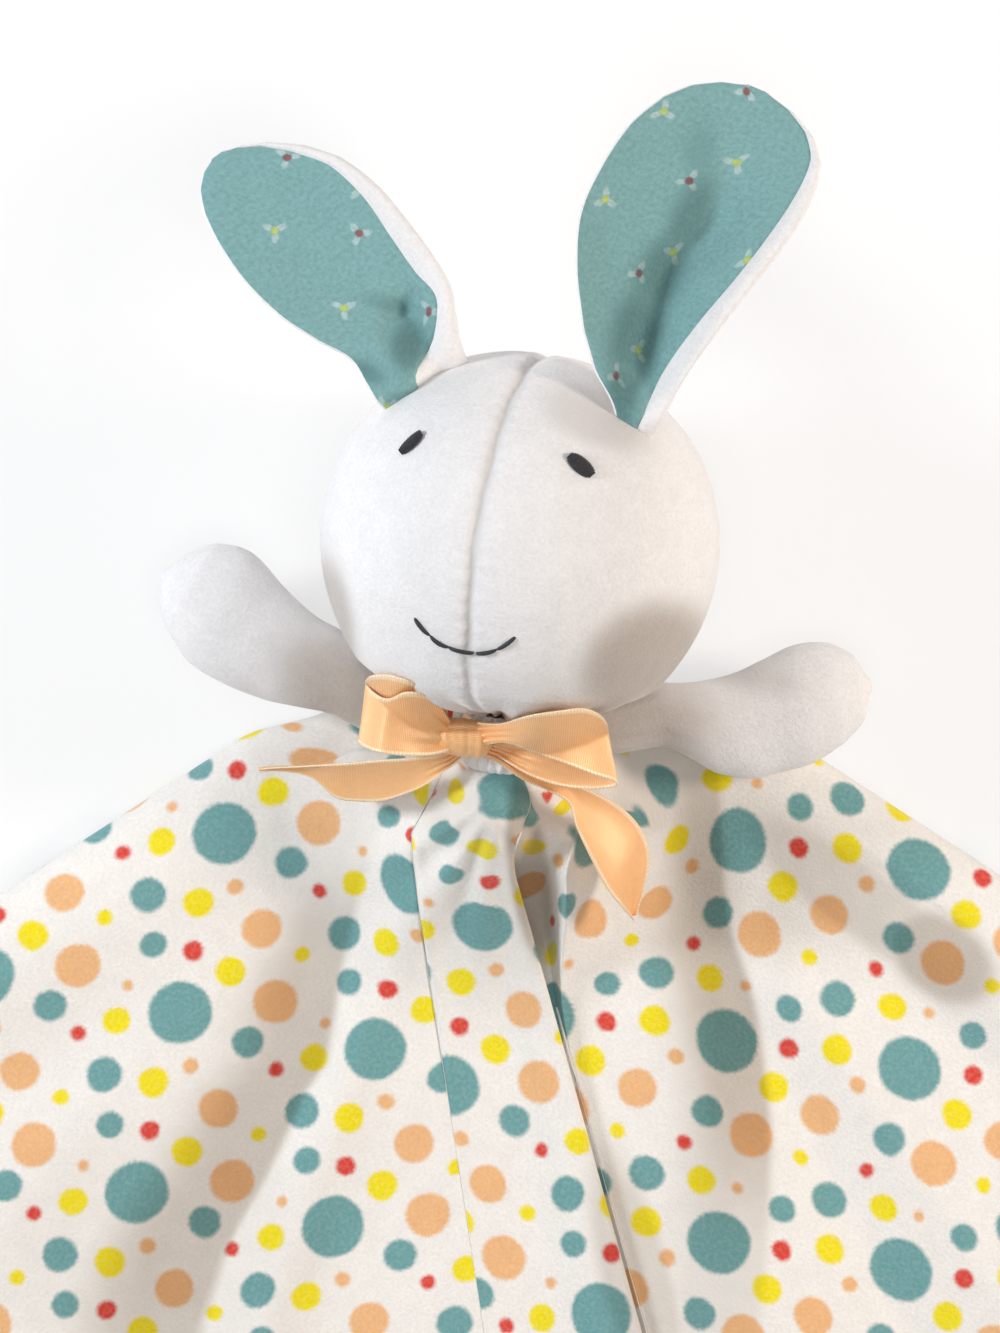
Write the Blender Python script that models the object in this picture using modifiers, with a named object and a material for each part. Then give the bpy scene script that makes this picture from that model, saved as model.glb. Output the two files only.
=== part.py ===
"""Comfort blanket lovey: a stuffed rabbit's head and two arms sewn to the middle of a double-layer blanket.

The toy lies on its back. Z points up, out of the face; Y points from the blanket to the ears.
The origin is on the table, below the chin. "left" and "right" are the viewer's.
"""

from math import asin, atan2, cos, pi, radians, sin, sqrt

import bmesh
import bpy
from mathutils import Matrix, Vector

# Cloth
FACE_THICKNESS = 0.0010
LINING_THICKNESS = 0.0010
VELOUR_THICKNESS = 0.0012
SEAT_GAP = 0.0003
WELD = 0.00005

# Blanket: a square, its middle at the neck, its upper half folded under along two lines from an apex
BLANKET_SIDE = 0.350
APEX_RISE = 0.042
FAN_ANGLE = radians(57.0)
CLOTH_FAN_ANGLE = radians(70.0)
LAYER_HEIGHT = 0.0078
EDGE_ROLL_WIDTH = 0.0135
EDGE_ROLL_HEIGHT = 0.0130
EDGE_ROLL_STARTS = 0.040
EDGE_ROLL_FULL = 0.095
EDGE_ROLL_LEAST = 0.0032
EDGE_ROLL_FADE = 0.045
ROLL_WIDTH_share = 0.25
ROLL_shares = (0.0, 0.34, 0.67, 1.0)
APEX_END = 0.0125
APEX_TURNS = (radians(45.0),)
APEX_NARROWING_share = 0.25
WIDE_ANGLE = radians(39.0)
BACK_COLUMNS = 6
PEAK_AT = Vector((-0.0050, -0.0155, 0.0))
PEAK_HEIGHT = 0.0500
PEAK_REACH = 0.066
PEAK_NARROWING_share = 1.25
PEAK_BACK_AT = -0.0062
PEAK_BACK_HEIGHT = 0.036
PEAK_BACK_STEEPNESS_share = 4.7
NEAR_RING_DISTANCES = (0.019, 0.028, 0.039, 0.0465, 0.0505, 0.0545, 0.0600, 0.0680, 0.0800)
FAR_RING_shares = (0.22, 0.50, 0.76, 1.0)

# Knife pleat down the front
PLEAT_TOP = Vector((-0.0036, -0.0209, 0.0))
PLEAT_SLANT = radians(15.6)
PLEAT_FOLD_RADIUS = 0.0036
PLEAT_INNER_GAP = 0.0010
PLEAT_HEIGHT = 0.0146
PLEAT_STARTS = 0.060
PLEAT_FULL = 0.098
FLAP_WIDTH_share = 0.14
OVERLAP_share = 0.065
RIDGE_AT_share = 0.085
RIDGE_FOOT_share = 0.17
RIDGE_DROP = 0.0030

# Soft ridge left of the pleat
SOFT_RIDGE_ANGLE = radians(19.5)
SOFT_RIDGE_HEIGHT = 0.0035
SOFT_RIDGE_WIDTH = 0.012

# Head
HEAD_RADIUS = 0.048
HEAD_AT_X = 0.0012
HEAD_AT_Y = 0.0456
HEAD_ROLL = radians(-8.3)
HEAD_TURN = radians(-12.8)
HEAD_PITCH = radians(12.0)
CHIN_STARTS = radians(50.0)
NECK_RADIUS = 0.0085
NECK_STARTS = 0.0415
SEAM_HALF_GAP = 0.0006
SEAM_THREAD_RADIUS = 0.0003
SEAM_DEPTH = 0.0005
PROFILE_POINTS = 13
HEAD_STEPS = 14
SEAM_POINTS = 27

# Neck
NECK_ENDS = 0.0545
NECK_FLARE = 0.0010
RIBBON_RING_AT = 0.0473
RIBBON_RING_WIDTH = 0.0050
NECK_STEPS = 20

# Face
EYE_SPREAD = 0.0205
EYE_ELEVATION = radians(33.5)
EYE_HEIGHT = 0.0074
EYE_WIDTH = 0.0032
EYE_TILT = radians(44.0)
EYE_THICKNESS = 0.0009
MOUTH_THREAD_RADIUS = 0.00055
MOUTH_MIDDLE = radians(-17.0)
MOUTH_END = radians(-15.0)
MOUTH_LOW = radians(-22.0)
MOUTH_SPREAD = radians(15.0)
MOUTH_POINTS = 7
MOUTH_START_share = 0.16

# Ears
EAR_SPREAD = radians(29.5)
EAR_ELEVATION = radians(53.5)
EAR_ROOT_RADIUS = 0.0016
EAR_SEAT_GAP = 0.0006
EAR_ROOT_HALF_LENGTH = 0.0085
EAR_LAYER_THICKNESS = 0.0010
EAR_DROOP = radians(7.0)
LINING_INSET = 0.0016
EAR_STATIONS = 11
EAR_COLUMNS = 6
EAR_CROWDING = 1.5
EAR_TIP_share = 0.10
EAR_OPEN_share = 0.35
EAR_CUP_LEVEL_share = 0.35
EAR_BACK_OFFSET = -1.0
LEFT_EAR = {"length": 0.0730, "half_width": 0.0198, "heading": radians(126.0), "cup": 0.0035}
LEFT_EAR_shares = (
    (0.0, 0.05, 0.56), (0.20, 0.22, 0.76), (0.40, 0.08, 0.92), (0.62, 0.0, 0.99),
    (0.80, -0.10, 0.86), (0.90, -0.19, 0.66), (0.97, -0.27, 0.40), (1.0, -0.30, 0.14),
)
RIGHT_EAR = {"length": 0.0820, "half_width": 0.0242, "heading": radians(67.1), "cup": 0.0075}
RIGHT_EAR_shares = (
    (0.0, 0.0, 0.40), (0.17, -0.12, 0.62), (0.35, -0.18, 0.85), (0.55, -0.10, 1.0),
    (0.78, 0.0, 0.97), (0.89, 0.04, 0.79), (0.96, 0.05, 0.52), (1.0, 0.05, 0.16),
)

# Arms: stations hold along, sideways and down as shares of the length, and half width and half thickness
# as shares of the paw's
ARM_ROOT_RADIUS = 0.0060
PAW_HALF_WIDTH = 0.0156
PAW_HALF_THICKNESS = 0.0112
ARM_SIDES = 10
ARM_STATIONS = 11
ARM_CROWDING = 1.5
ARM_TIP_share = 0.08
ARM_FILL_CLEARANCE = 0.0004
ROOT_TURNS = (radians(36.0), radians(64.0), radians(90.0))
LEFT_ARM = {"pivot": Vector((-0.0230, 0.0020, 0.0262)), "length": 0.0720, "heading": radians(150.0)}
LEFT_ARM_shares = (
    (0.0, 0.0, 0.0, 0.385, 0.536), (0.15, 0.0, 0.0, 0.54, 0.63), (0.28, 0.007, -0.006, 0.65, 0.71),
    (0.39, -0.012, -0.02, 0.76, 0.80), (0.49, -0.028, -0.033, 0.83, 0.88), (0.63, -0.02, -0.047, 0.92, 0.96),
    (0.78, 0.006, -0.058, 1.0, 1.0), (0.90, 0.02, -0.058, 0.79, 0.82), (0.97, 0.011, -0.058, 0.46, 0.49),
    (1.0, 0.006, -0.058, 0.10, 0.12),
)
RIGHT_ARM = {"pivot": Vector((0.0135, 0.0010, 0.0260)), "length": 0.0735, "heading": radians(9.0)}
RIGHT_ARM_shares = (
    (0.0, 0.0, 0.0, 0.385, 0.536), (0.15, -0.008, 0.0, 0.45, 0.59), (0.30, -0.004, -0.008, 0.52, 0.64),
    (0.38, -0.035, -0.019, 0.62, 0.71), (0.45, -0.065, -0.03, 0.75, 0.80), (0.56, -0.079, -0.046, 0.85, 0.91),
    (0.66, -0.063, -0.057, 0.91, 0.97), (0.77, -0.041, -0.06, 0.95, 1.0), (0.88, -0.022, -0.06, 0.81, 0.86),
    (0.96, -0.016, -0.06, 0.53, 0.56), (1.0, -0.014, -0.06, 0.10, 0.12),
)

# Ribbon bow: stations hold the middle of the ribbon and half its width, as shares of the ribbon's width,
# measured from the knot's middle
RIBBON_WIDTH = 0.016
RIBBON_THICKNESS = 0.0005
KNOT_HALF_LENGTH = 0.0048
KNOT_HALF_HEIGHT = 0.0044
KNOT_HALF_DEPTH = 0.0040
KNOT_LEAN = radians(28.0)
RIBBON_COLUMNS = 3
LEFT_LOOP_shares = (
    ((-0.33, 0.02, 0.10), (0.0, 0.24, 0.05)), ((-0.70, 0.17, 0.34), (0.0, 0.40, 0.14)),
    ((-1.20, 0.32, 0.50), (-0.09, 0.52, 0.06)), ((-1.55, 0.36, 0.40), (-0.12, 0.52, 0.0)),
    ((-1.70, 0.36, 0.18), (-0.12, 0.50, -0.03)), ((-1.55, 0.34, -0.02), (-0.10, 0.50, 0.0)),
    ((-1.10, 0.24, -0.10), (-0.05, 0.48, 0.0)), ((-0.65, 0.10, -0.10), (0.0, 0.36, 0.0)),
    ((-0.33, 0.02, -0.08), (0.0, 0.24, 0.0)),
)
RIGHT_LOOP_shares = (
    ((0.33, -0.02, 0.10), (0.0, 0.20, 0.05)), ((0.78, -0.10, 0.28), (-0.05, 0.28, 0.08)),
    ((1.34, -0.17, 0.44), (-0.09, 0.44, 0.06)), ((1.82, -0.25, 0.36), (-0.10, 0.50, 0.0)),
    ((2.02, -0.27, 0.17), (-0.10, 0.50, -0.03)), ((1.82, -0.28, 0.02), (-0.09, 0.48, 0.0)),
    ((1.30, -0.22, -0.02), (-0.05, 0.42, 0.0)), ((0.78, -0.12, 0.0), (0.0, 0.28, 0.0)),
    ((0.33, -0.02, -0.02), (0.0, 0.20, 0.0)),
)
LEFT_TAIL_shares = (
    ((-0.19, -0.38, -0.08), (0.0, 0.13, 0.06)), ((-0.72, -0.52, -0.45), (0.0, 0.24, 0.26)),
    ((-1.20, -0.58, -0.90), (0.0, 0.30, 0.40)), ((-1.75, -0.58, -1.35), (0.02, 0.28, 0.40)),
    ((-2.30, -0.54, -1.75), (0.06, 0.20, 0.42)), ((-2.80, -0.46, -1.98), (0.10, 0.10, 0.34)),
    ((-3.20, -0.42, -2.10), (0.04, 0.03, 0.08)),
)
RIGHT_TAIL_shares = (
    ((0.24, -0.41, -0.03), (-0.09, 0.13, 0.04)), ((0.80, -0.72, -0.08), (-0.14, 0.26, 0.10)),
    ((1.35, -0.96, -0.42), (-0.20, 0.36, 0.20)), ((1.90, -1.16, -0.85), (0.30, 0.32, 0.20)),
    ((2.15, -1.50, -1.20), (0.46, 0.18, 0.12)), ((2.28, -1.95, -1.50), (0.46, 0.12, 0.06)),
    ((2.42, -2.35, -1.72), (0.24, 0.06, 0.02)), ((2.50, -2.64, -1.86), (0.04, 0.01, 0.0)),
)

# Places that follow from the sizes above
CORNER_ANGLE = atan2(BLANKET_SIDE / 2.0, BLANKET_SIDE / 2.0 + APEX_RISE) * FAN_ANGLE / CLOTH_FAN_ANGLE
MIDDLE_ANGLE = (CORNER_ANGLE + SOFT_RIDGE_ANGLE) / 2.0
NEAR_RINGS = (APEX_END, *NEAR_RING_DISTANCES)
HEAD_AT_Z = LAYER_HEIGHT + SEAT_GAP + HEAD_RADIUS


def share_between(low, high, value):
    """How far value is from low to high, 0 to 1, eased at both ends."""
    share = min(max((value - low) / (high - low), 0.0), 1.0)
    return share * share * (3.0 - 2.0 * share)


def smooth_row(rows, at):
    """The row of numbers at a place along a table whose first column is that place, on a smooth curve."""
    index = 0
    while index < len(rows) - 2 and rows[index + 1][0] < at:
        index += 1
    before = rows[max(index - 1, 0)]
    start = rows[index]
    end = rows[index + 1]
    after = rows[min(index + 2, len(rows) - 1)]
    t = (at - start[0]) / (end[0] - start[0])
    values = []
    for a, b, c, d in zip(before[1:], start[1:], end[1:], after[1:]):
        slope_in = (c - a) / 2.0
        slope_out = (d - b) / 2.0
        values.append(
            (2 * t**3 - 3 * t**2 + 1) * b + (t**3 - 2 * t**2 + t) * slope_in
            + (3 * t**2 - 2 * t**3) * c + (t**3 - t**2) * slope_out
        )
    return values


def new_collection(name):
    collection = bpy.data.collections.new(name)
    bpy.context.scene.collection.children.link(collection)
    return collection


def new_material(name, colour, roughness):
    material = bpy.data.materials.new(name)
    material.use_nodes = True
    shader = material.node_tree.nodes["Principled BSDF"]
    shader.inputs["Base Color"].default_value = (*colour, 1.0)
    shader.inputs["Roughness"].default_value = roughness
    shader.inputs["Metallic"].default_value = 0.0
    return material


def new_object(name, data, material, parent=None):
    part = bpy.data.objects.new(name, data)
    part.data.materials.append(material)
    part.parent = parent
    LOVEY.objects.link(part)
    return part


def new_pivot(name, matrix):
    pivot = bpy.data.objects.new(name, None)
    pivot.matrix_world = matrix
    LOVEY.objects.link(pivot)
    return pivot


def solidify(part, thickness, offset=-1.0):
    """Thickens an open surface; an offset of -1 keeps the surface as the outside."""
    modifier = part.modifiers.new("thickness", "SOLIDIFY")
    modifier.thickness = thickness
    modifier.offset = offset
    return modifier


def lofted_mesh(name, sections, closed, caps=(False, False)):
    """A mesh through sections of as many points each; closed joins their ends, and a cap closes an end."""
    mesh = bpy.data.meshes.new(name)
    shape = bmesh.new()
    rows = [[shape.verts.new(point) for point in section] for section in sections]
    count = len(rows[0])
    for row, following in zip(rows, rows[1:]):
        for j in range(count if closed else count - 1):
            k = (j + 1) % count
            shape.faces.new((row[j], row[k], following[k], following[j]))
    for present, row in ((caps[0], rows[0][::-1]), (caps[1], rows[-1])):
        if present:
            middle = shape.verts.new(sum((vert.co for vert in row), Vector()) / count)
            for vert, following in zip(row, row[1:] + row[:1]):
                shape.faces.new((vert, following, middle))
    shape.to_mesh(mesh)
    shape.free()
    mesh.shade_smooth()
    return mesh


def turned_object(name, profile, angle, steps, material, parent):
    """An object turned about its own Z axis from a profile of (radius, height), top to bottom."""
    mesh = bpy.data.meshes.new(name)
    points = [(radius, 0.0, height) for radius, height in profile]
    mesh.from_pydata(points, [(i, i + 1) for i in range(len(points) - 1)], [])
    part = new_object(name, mesh, material, parent)
    screw = part.modifiers.new("turn", "SCREW")
    screw.angle = angle
    screw.steps = steps
    screw.render_steps = steps
    screw.use_merge_vertices = True
    screw.merge_threshold = WELD
    screw.use_smooth_shade = True
    return part


def tube_object(name, points, radius, material, parent, resolution=1):
    """A thread or cord along points, with closed ends."""
    curve = bpy.data.curves.new(name, "CURVE")
    curve.dimensions = "3D"
    spline = curve.splines.new("POLY")
    spline.points.add(len(points) - 1)
    for place, point in zip(spline.points, points):
        place.co = (*point, 1.0)
    curve.bevel_depth = radius
    curve.bevel_resolution = resolution
    curve.use_fill_caps = True
    return new_object(name, curve, material, parent)


# Blanket


def ball_underside(x, y):
    """The height of the head's lower surface above a point of the table."""
    reach = HEAD_RADIUS**2 - (x - HEAD_AT_X) ** 2 - (y - HEAD_AT_Y) ** 2
    if reach <= 0.0:
        return HEAD_AT_Z + HEAD_RADIUS
    return HEAD_AT_Z - sqrt(reach)


def hem_distance(cloth_angle):
    """From the apex to the square's edge, at an angle from straight down, measured on the flat cloth."""
    half_side = BLANKET_SIDE / 2.0
    limits = []
    if cos(cloth_angle) > 0.0:
        limits.append((half_side + APEX_RISE) / cos(cloth_angle))
    else:
        limits.append((half_side - APEX_RISE) / -cos(cloth_angle))
    if sin(cloth_angle) > 0.0:
        limits.append(half_side / sin(cloth_angle))
    return min(limit for limit in limits if limit > 0.0)


def front_hem(angle):
    return hem_distance(abs(angle) * CLOTH_FAN_ANGLE / FAN_ANGLE)


def back_hem(angle):
    """The folded-under half is drawn together, so its angles count from the fold to straight up."""
    hidden = (pi - CLOTH_FAN_ANGLE) * (1.0 - abs(angle) / FAN_ANGLE)
    return hem_distance(CLOTH_FAN_ANGLE + hidden)


def ring_distance(ring, hem):
    if ring < len(NEAR_RINGS):
        return NEAR_RINGS[ring]
    near = NEAR_RINGS[-1]
    return near + FAR_RING_shares[ring - len(NEAR_RINGS)] * (hem - near)


def polar(distance, angle):
    """A point of the table by distance from the apex and angle from straight down, right being positive."""
    return Vector((distance * sin(angle), APEX_RISE - distance * cos(angle), 0.0))


def pleat_angle(distance):
    """Where the pleat's edge crosses the circle of this distance round the apex."""
    run = Vector((sin(PLEAT_SLANT), -cos(PLEAT_SLANT), 0.0))
    start = PLEAT_TOP - Vector((0.0, APEX_RISE, 0.0))
    half = start.dot(run)
    inside = half**2 - start.dot(start) + max(distance, start.length) ** 2
    point = start + run * (-half + sqrt(inside))
    return atan2(point.x, -point.y)


def roll_width(distance):
    return min(EDGE_ROLL_WIDTH, max(distance * ROLL_WIDTH_share, EDGE_ROLL_LEAST))


def roll_height(distance):
    grown = share_between(EDGE_ROLL_STARTS, EDGE_ROLL_FULL, distance)
    return LAYER_HEIGHT + (EDGE_ROLL_HEIGHT - LAYER_HEIGHT) * grown


def peak_height(point):
    """The cloth's rise to the neck: steep behind, easy in front and at the sides."""
    across = (point.x - PEAK_AT.x) * PEAK_NARROWING_share
    along = point.y - PEAK_AT.y
    fall = max(1.0 - sqrt(across**2 + min(along, 0.0) ** 2) / PEAK_REACH, 0.0)
    front = (PEAK_HEIGHT - LAYER_HEIGHT) * fall**2
    back = PEAK_BACK_HEIGHT + (PEAK_BACK_AT - point.y) * PEAK_BACK_STEEPNESS_share - LAYER_HEIGHT
    return max(min(front, back), 0.0)


def front_height(point, distance, angle):
    """The height of the blanket's upper surface, away from the pleat."""
    edge = distance * sin(max(FAN_ANGLE - abs(angle), 0.0))
    width = roll_width(distance)
    past_roll = share_between(width, EDGE_ROLL_FADE, edge)
    height = roll_height(distance) + (LAYER_HEIGHT - roll_height(distance)) * past_roll
    ridge = distance * (angle + SOFT_RIDGE_ANGLE) / SOFT_RIDGE_WIDTH
    swell = share_between(PLEAT_STARTS, PLEAT_FULL, distance) / (1.0 + ridge**2)
    height += SOFT_RIDGE_HEIGHT * swell + peak_height(point)
    return min(height, ball_underside(point.x, point.y) - SEAT_GAP)


def pleat_columns(distance):
    """Columns across the pleat: distance from the flap edge when flat and when folded, and folded height."""
    r = PLEAT_FOLD_RADIUS
    corner = r * (1.0 - cos(radians(45.0)))
    flap = FLAP_WIDTH_share * distance
    overlap = OVERLAP_share * distance
    low = PLEAT_HEIGHT - 2.0 * r
    under = low - PLEAT_INNER_GAP
    ridge = PLEAT_HEIGHT - RIDGE_DROP
    folded = (
        (-flap, None), (-flap / 2.0, PLEAT_HEIGHT), (-r, PLEAT_HEIGHT), (-corner, PLEAT_HEIGHT - corner),
        (0.0, PLEAT_HEIGHT - r), (-corner, low + corner), (-r, low), (-overlap, low),
        (-overlap - PLEAT_INNER_GAP / 2.0, low - PLEAT_INNER_GAP / 2.0), (-overlap, under),
        (RIDGE_AT_share * distance / 3.0, under), (RIDGE_AT_share * distance, ridge),
        (RIDGE_FOOT_share * distance, None),
    )
    last = len(folded) - 1
    columns = []
    for index, (shift, height) in enumerate(folded):
        flat = -flap + (flap + RIDGE_FOOT_share * distance) * index / last
        columns.append((flat, shift, height))
    return columns


def front_section(ring):
    """The blanket's upper layer along one ring, from the left fold to the right one."""
    middle = ring_distance(ring, front_hem(0.0))
    folding = share_between(PLEAT_STARTS, PLEAT_FULL, middle)
    points = []

    def lay(angle, height=None, blend=0.0):
        distance = ring_distance(ring, front_hem(angle))
        point = polar(distance, angle)
        own = front_height(point, distance, angle)
        point.z = own if height is None else own + (height - own) * blend
        points.append(point)

    def lay_roll(side, shares):
        distance = ring_distance(ring, front_hem(FAN_ANGLE))
        half = roll_height(distance) / 2.0
        for share in shares:
            inset = roll_width(distance) * (1.0 - cos(share * pi / 2.0))
            angle = side * (FAN_ANGLE - asin(min(inset / distance, sin(FAN_ANGLE))))
            point = polar(distance, angle)
            limit = ball_underside(point.x, point.y) - SEAT_GAP
            point.z = min(half + half * sin(share * pi / 2.0), limit)
            points.append(point)

    lay_roll(-1.0, ROLL_shares)
    for angle in (-WIDE_ANGLE, -CORNER_ANGLE, -MIDDLE_ANGLE, -SOFT_RIDGE_ANGLE):
        lay(angle)
    edge = pleat_angle(middle)
    columns = pleat_columns(middle)
    flap_angle = edge + columns[0][0] / middle
    for share in (1.0 / 3.0, 2.0 / 3.0):
        lay(-SOFT_RIDGE_ANGLE + (flap_angle + SOFT_RIDGE_ANGLE) * share)
    for flat, shift, height in columns:
        across = flat + (shift - flat) * folding
        lay(edge + across / middle, height, folding)
    foot_angle = edge + columns[-1][0] / middle
    lay((foot_angle + CORNER_ANGLE) / 2.0)
    for angle in (CORNER_ANGLE, WIDE_ANGLE):
        lay(angle)
    lay_roll(1.0, ROLL_shares[::-1])
    return points


def back_section(ring):
    """The folded-under layer along one ring, from the right fold back to the left one, flat on the table."""
    points = []
    fold = ring_distance(ring, front_hem(FAN_ANGLE))
    half = roll_height(fold) / 2.0
    width = roll_width(fold)

    def lay_roll(side, shares):
        for share in shares:
            inset = width * (1.0 - cos(share * pi / 2.0))
            point = polar(fold, side * (FAN_ANGLE - asin(min(inset / fold, sin(FAN_ANGLE)))))
            point.z = half - half * sin(share * pi / 2.0)
            points.append(point)

    inner = FAN_ANGLE - asin(min(width / fold, sin(FAN_ANGLE)))
    lay_roll(1.0, ROLL_shares[1:])
    for index in range(1, BACK_COLUMNS):
        angle = inner * (1.0 - 2.0 * index / BACK_COLUMNS)
        points.append(polar(ring_distance(ring, back_hem(angle)), angle))
    lay_roll(-1.0, ROLL_shares[:0:-1])
    return points


def build_blanket():
    rings = range(len(NEAR_RINGS) + len(FAR_RING_shares))
    sections = [(front_section(ring) + back_section(ring))[::-1] for ring in rings]
    half = LAYER_HEIGHT / 2.0
    for point in sections[0]:
        point.y = APEX_RISE - APEX_END * cos(FAN_ANGLE)
    nose = []
    for turn in APEX_TURNS:
        drawn_in = Vector((1.0 - APEX_NARROWING_share * (1.0 - cos(turn)), 1.0, cos(turn)))
        middle = Vector((0.0, half * sin(turn), half * (1.0 - cos(turn))))
        nose.append([point * drawn_in + middle for point in sections[0]])
    sections = nose + sections
    mesh = lofted_mesh("blanket", sections, closed=True, caps=(True, False))
    lining = new_object("blanket_lining", mesh.copy(), WHITE_VELOUR)
    face = new_object("blanket_face", mesh, PRINTED_VELOUR)
    solidify(face, FACE_THICKNESS)
    depth = FACE_THICKNESS + SEAT_GAP + LINING_THICKNESS / 2.0
    solidify(lining, LINING_THICKNESS, -depth / (LINING_THICKNESS / 2.0))


# Head


def head_profile(inset):
    """The head's outline from its top to its neck, as (radius, height) about its own axis."""
    radius = HEAD_RADIUS - inset
    turn = pi - CHIN_STARTS
    points = []
    for index in range(PROFILE_POINTS):
        angle = turn * index / (PROFILE_POINTS - 1)
        points.append((radius * sin(angle), radius * cos(angle)))
    chin = points[-1]
    neck = (NECK_RADIUS - inset, inset - NECK_STARTS)
    for share in (1.0 / 3.0, 2.0 / 3.0, 1.0):
        points.append((chin[0] + (neck[0] - chin[0]) * share, chin[1] + (neck[1] - chin[1]) * share))
    return points


def on_head(bearing, elevation, height=0.0):
    """A point above the head's surface, by its bearing from the face's middle and its elevation."""
    panel_shift = SEAM_HALF_GAP * abs(sin(bearing)) * cos(elevation)
    distance = HEAD_RADIUS + panel_shift + height
    return Vector((
        distance * cos(elevation) * sin(bearing),
        -distance * cos(elevation) * cos(bearing),
        distance * sin(elevation),
    ))


def build_head(pivot):
    for name, side in (("head_left_panel", -1.0), ("head_right_panel", 1.0)):
        panel = turned_object(name, head_profile(0.0), pi, HEAD_STEPS, WHITE_VELOUR, pivot)
        panel.rotation_euler.z = -side * pi / 2.0
        panel.location.x = side * SEAM_HALF_GAP
        solidify(panel, VELOUR_THICKNESS)
    inset = VELOUR_THICKNESS + SEAT_GAP + SEAM_HALF_GAP
    core = head_profile(inset)
    turned_object("head_stuffing", core + [(0.0, core[-1][1])], 2.0 * pi, HEAD_STEPS, FIBREFILL, pivot)
    reach = pi - CHIN_STARTS
    seam = []
    for index in range(SEAM_POINTS):
        angle = -reach + 2.0 * reach * index / (SEAM_POINTS - 1)
        distance = HEAD_RADIUS - SEAM_DEPTH
        seam.append((0.0, -distance * sin(angle), distance * cos(angle)))
    tube_object("centre_seam_thread", seam, SEAM_THREAD_RADIUS, SEAM_THREAD, pivot)


def build_face(pivot):
    bearing = asin(EYE_SPREAD / (HEAD_RADIUS * cos(EYE_ELEVATION)))
    for name, side in (("left_eye", -1.0), ("right_eye", 1.0)):
        mesh = bpy.data.meshes.new(name)
        shape = bmesh.new()
        bmesh.ops.create_uvsphere(shape, u_segments=14, v_segments=8, radius=0.5)
        sizes = (EYE_WIDTH, EYE_HEIGHT, EYE_THICKNESS)
        bmesh.ops.scale(shape, vec=sizes, verts=shape.verts)
        shape.to_mesh(mesh)
        shape.free()
        mesh.shade_smooth()
        eye = new_object(name, mesh, DARK_THREAD, pivot)
        middle = on_head(side * bearing, EYE_ELEVATION, SEAT_GAP + EYE_THICKNESS / 2.0)
        outward = middle.normalized()
        upward = Vector((0.0, 0.0, 1.0))
        upward = (upward - outward * upward.dot(outward)).normalized()
        upward = Matrix.Rotation(side * EYE_TILT, 3, outward) @ upward
        eye.matrix_local = frame_at(middle, upward, outward)
    height = SEAT_GAP + MOUTH_THREAD_RADIUS
    for name, side in (("mouth_left_stitch", -1.0), ("mouth_right_stitch", 1.0)):
        points = []
        for index in range(MOUTH_POINTS):
            share = MOUTH_START_share + (1.0 - MOUTH_START_share) * index / (MOUTH_POINTS - 1)
            bend = 4.0 * share * (1.0 - share)
            elevation = MOUTH_MIDDLE + (MOUTH_END - MOUTH_MIDDLE) * share
            elevation += (MOUTH_LOW - (MOUTH_MIDDLE + MOUTH_END) / 2.0) * bend
            points.append(on_head(side * MOUTH_SPREAD * share, elevation, height))
        tube_object(name, points, MOUTH_THREAD_RADIUS, DARK_THREAD, pivot)


def frame_at(origin, along, normal):
    """A matrix whose Y runs along a direction and whose Z is the nearest to a normal."""
    y_axis = along.normalized()
    x_axis = y_axis.cross(normal).normalized()
    z_axis = x_axis.cross(y_axis)
    matrix = Matrix((x_axis, y_axis, z_axis)).transposed().to_4x4()
    matrix.translation = origin
    return matrix


# Ears


def ear_sections(ear, shares, inset, level):
    """Stations from the root to the tip, each across the ear; its edges cup towards the viewer."""
    start = EAR_ROOT_RADIUS + SEAT_GAP
    sections = []
    for station in range(EAR_STATIONS):
        share = 1.0 - (1.0 - station / (EAR_STATIONS - 1)) ** EAR_CROWDING
        centre_share, width_share = smooth_row(shares, share)
        half_width = max(ear["half_width"] * width_share - inset, ear["half_width"] * EAR_TIP_share)
        along = start + (ear["length"] - start - inset) * share
        row = []
        for column in range(EAR_COLUMNS + 1):
            across = 2.0 * column / EAR_COLUMNS - 1.0
            opened = sin(pi * min(share / EAR_OPEN_share, 1.0) / 2.0)
            cup = ear["cup"] * opened * (across**2 - EAR_CUP_LEVEL_share) * cos(share * pi / 3.0)
            row.append((ear["half_width"] * centre_share + half_width * across, along, level + cup))
        sections.append(row)
    return sections


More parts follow.
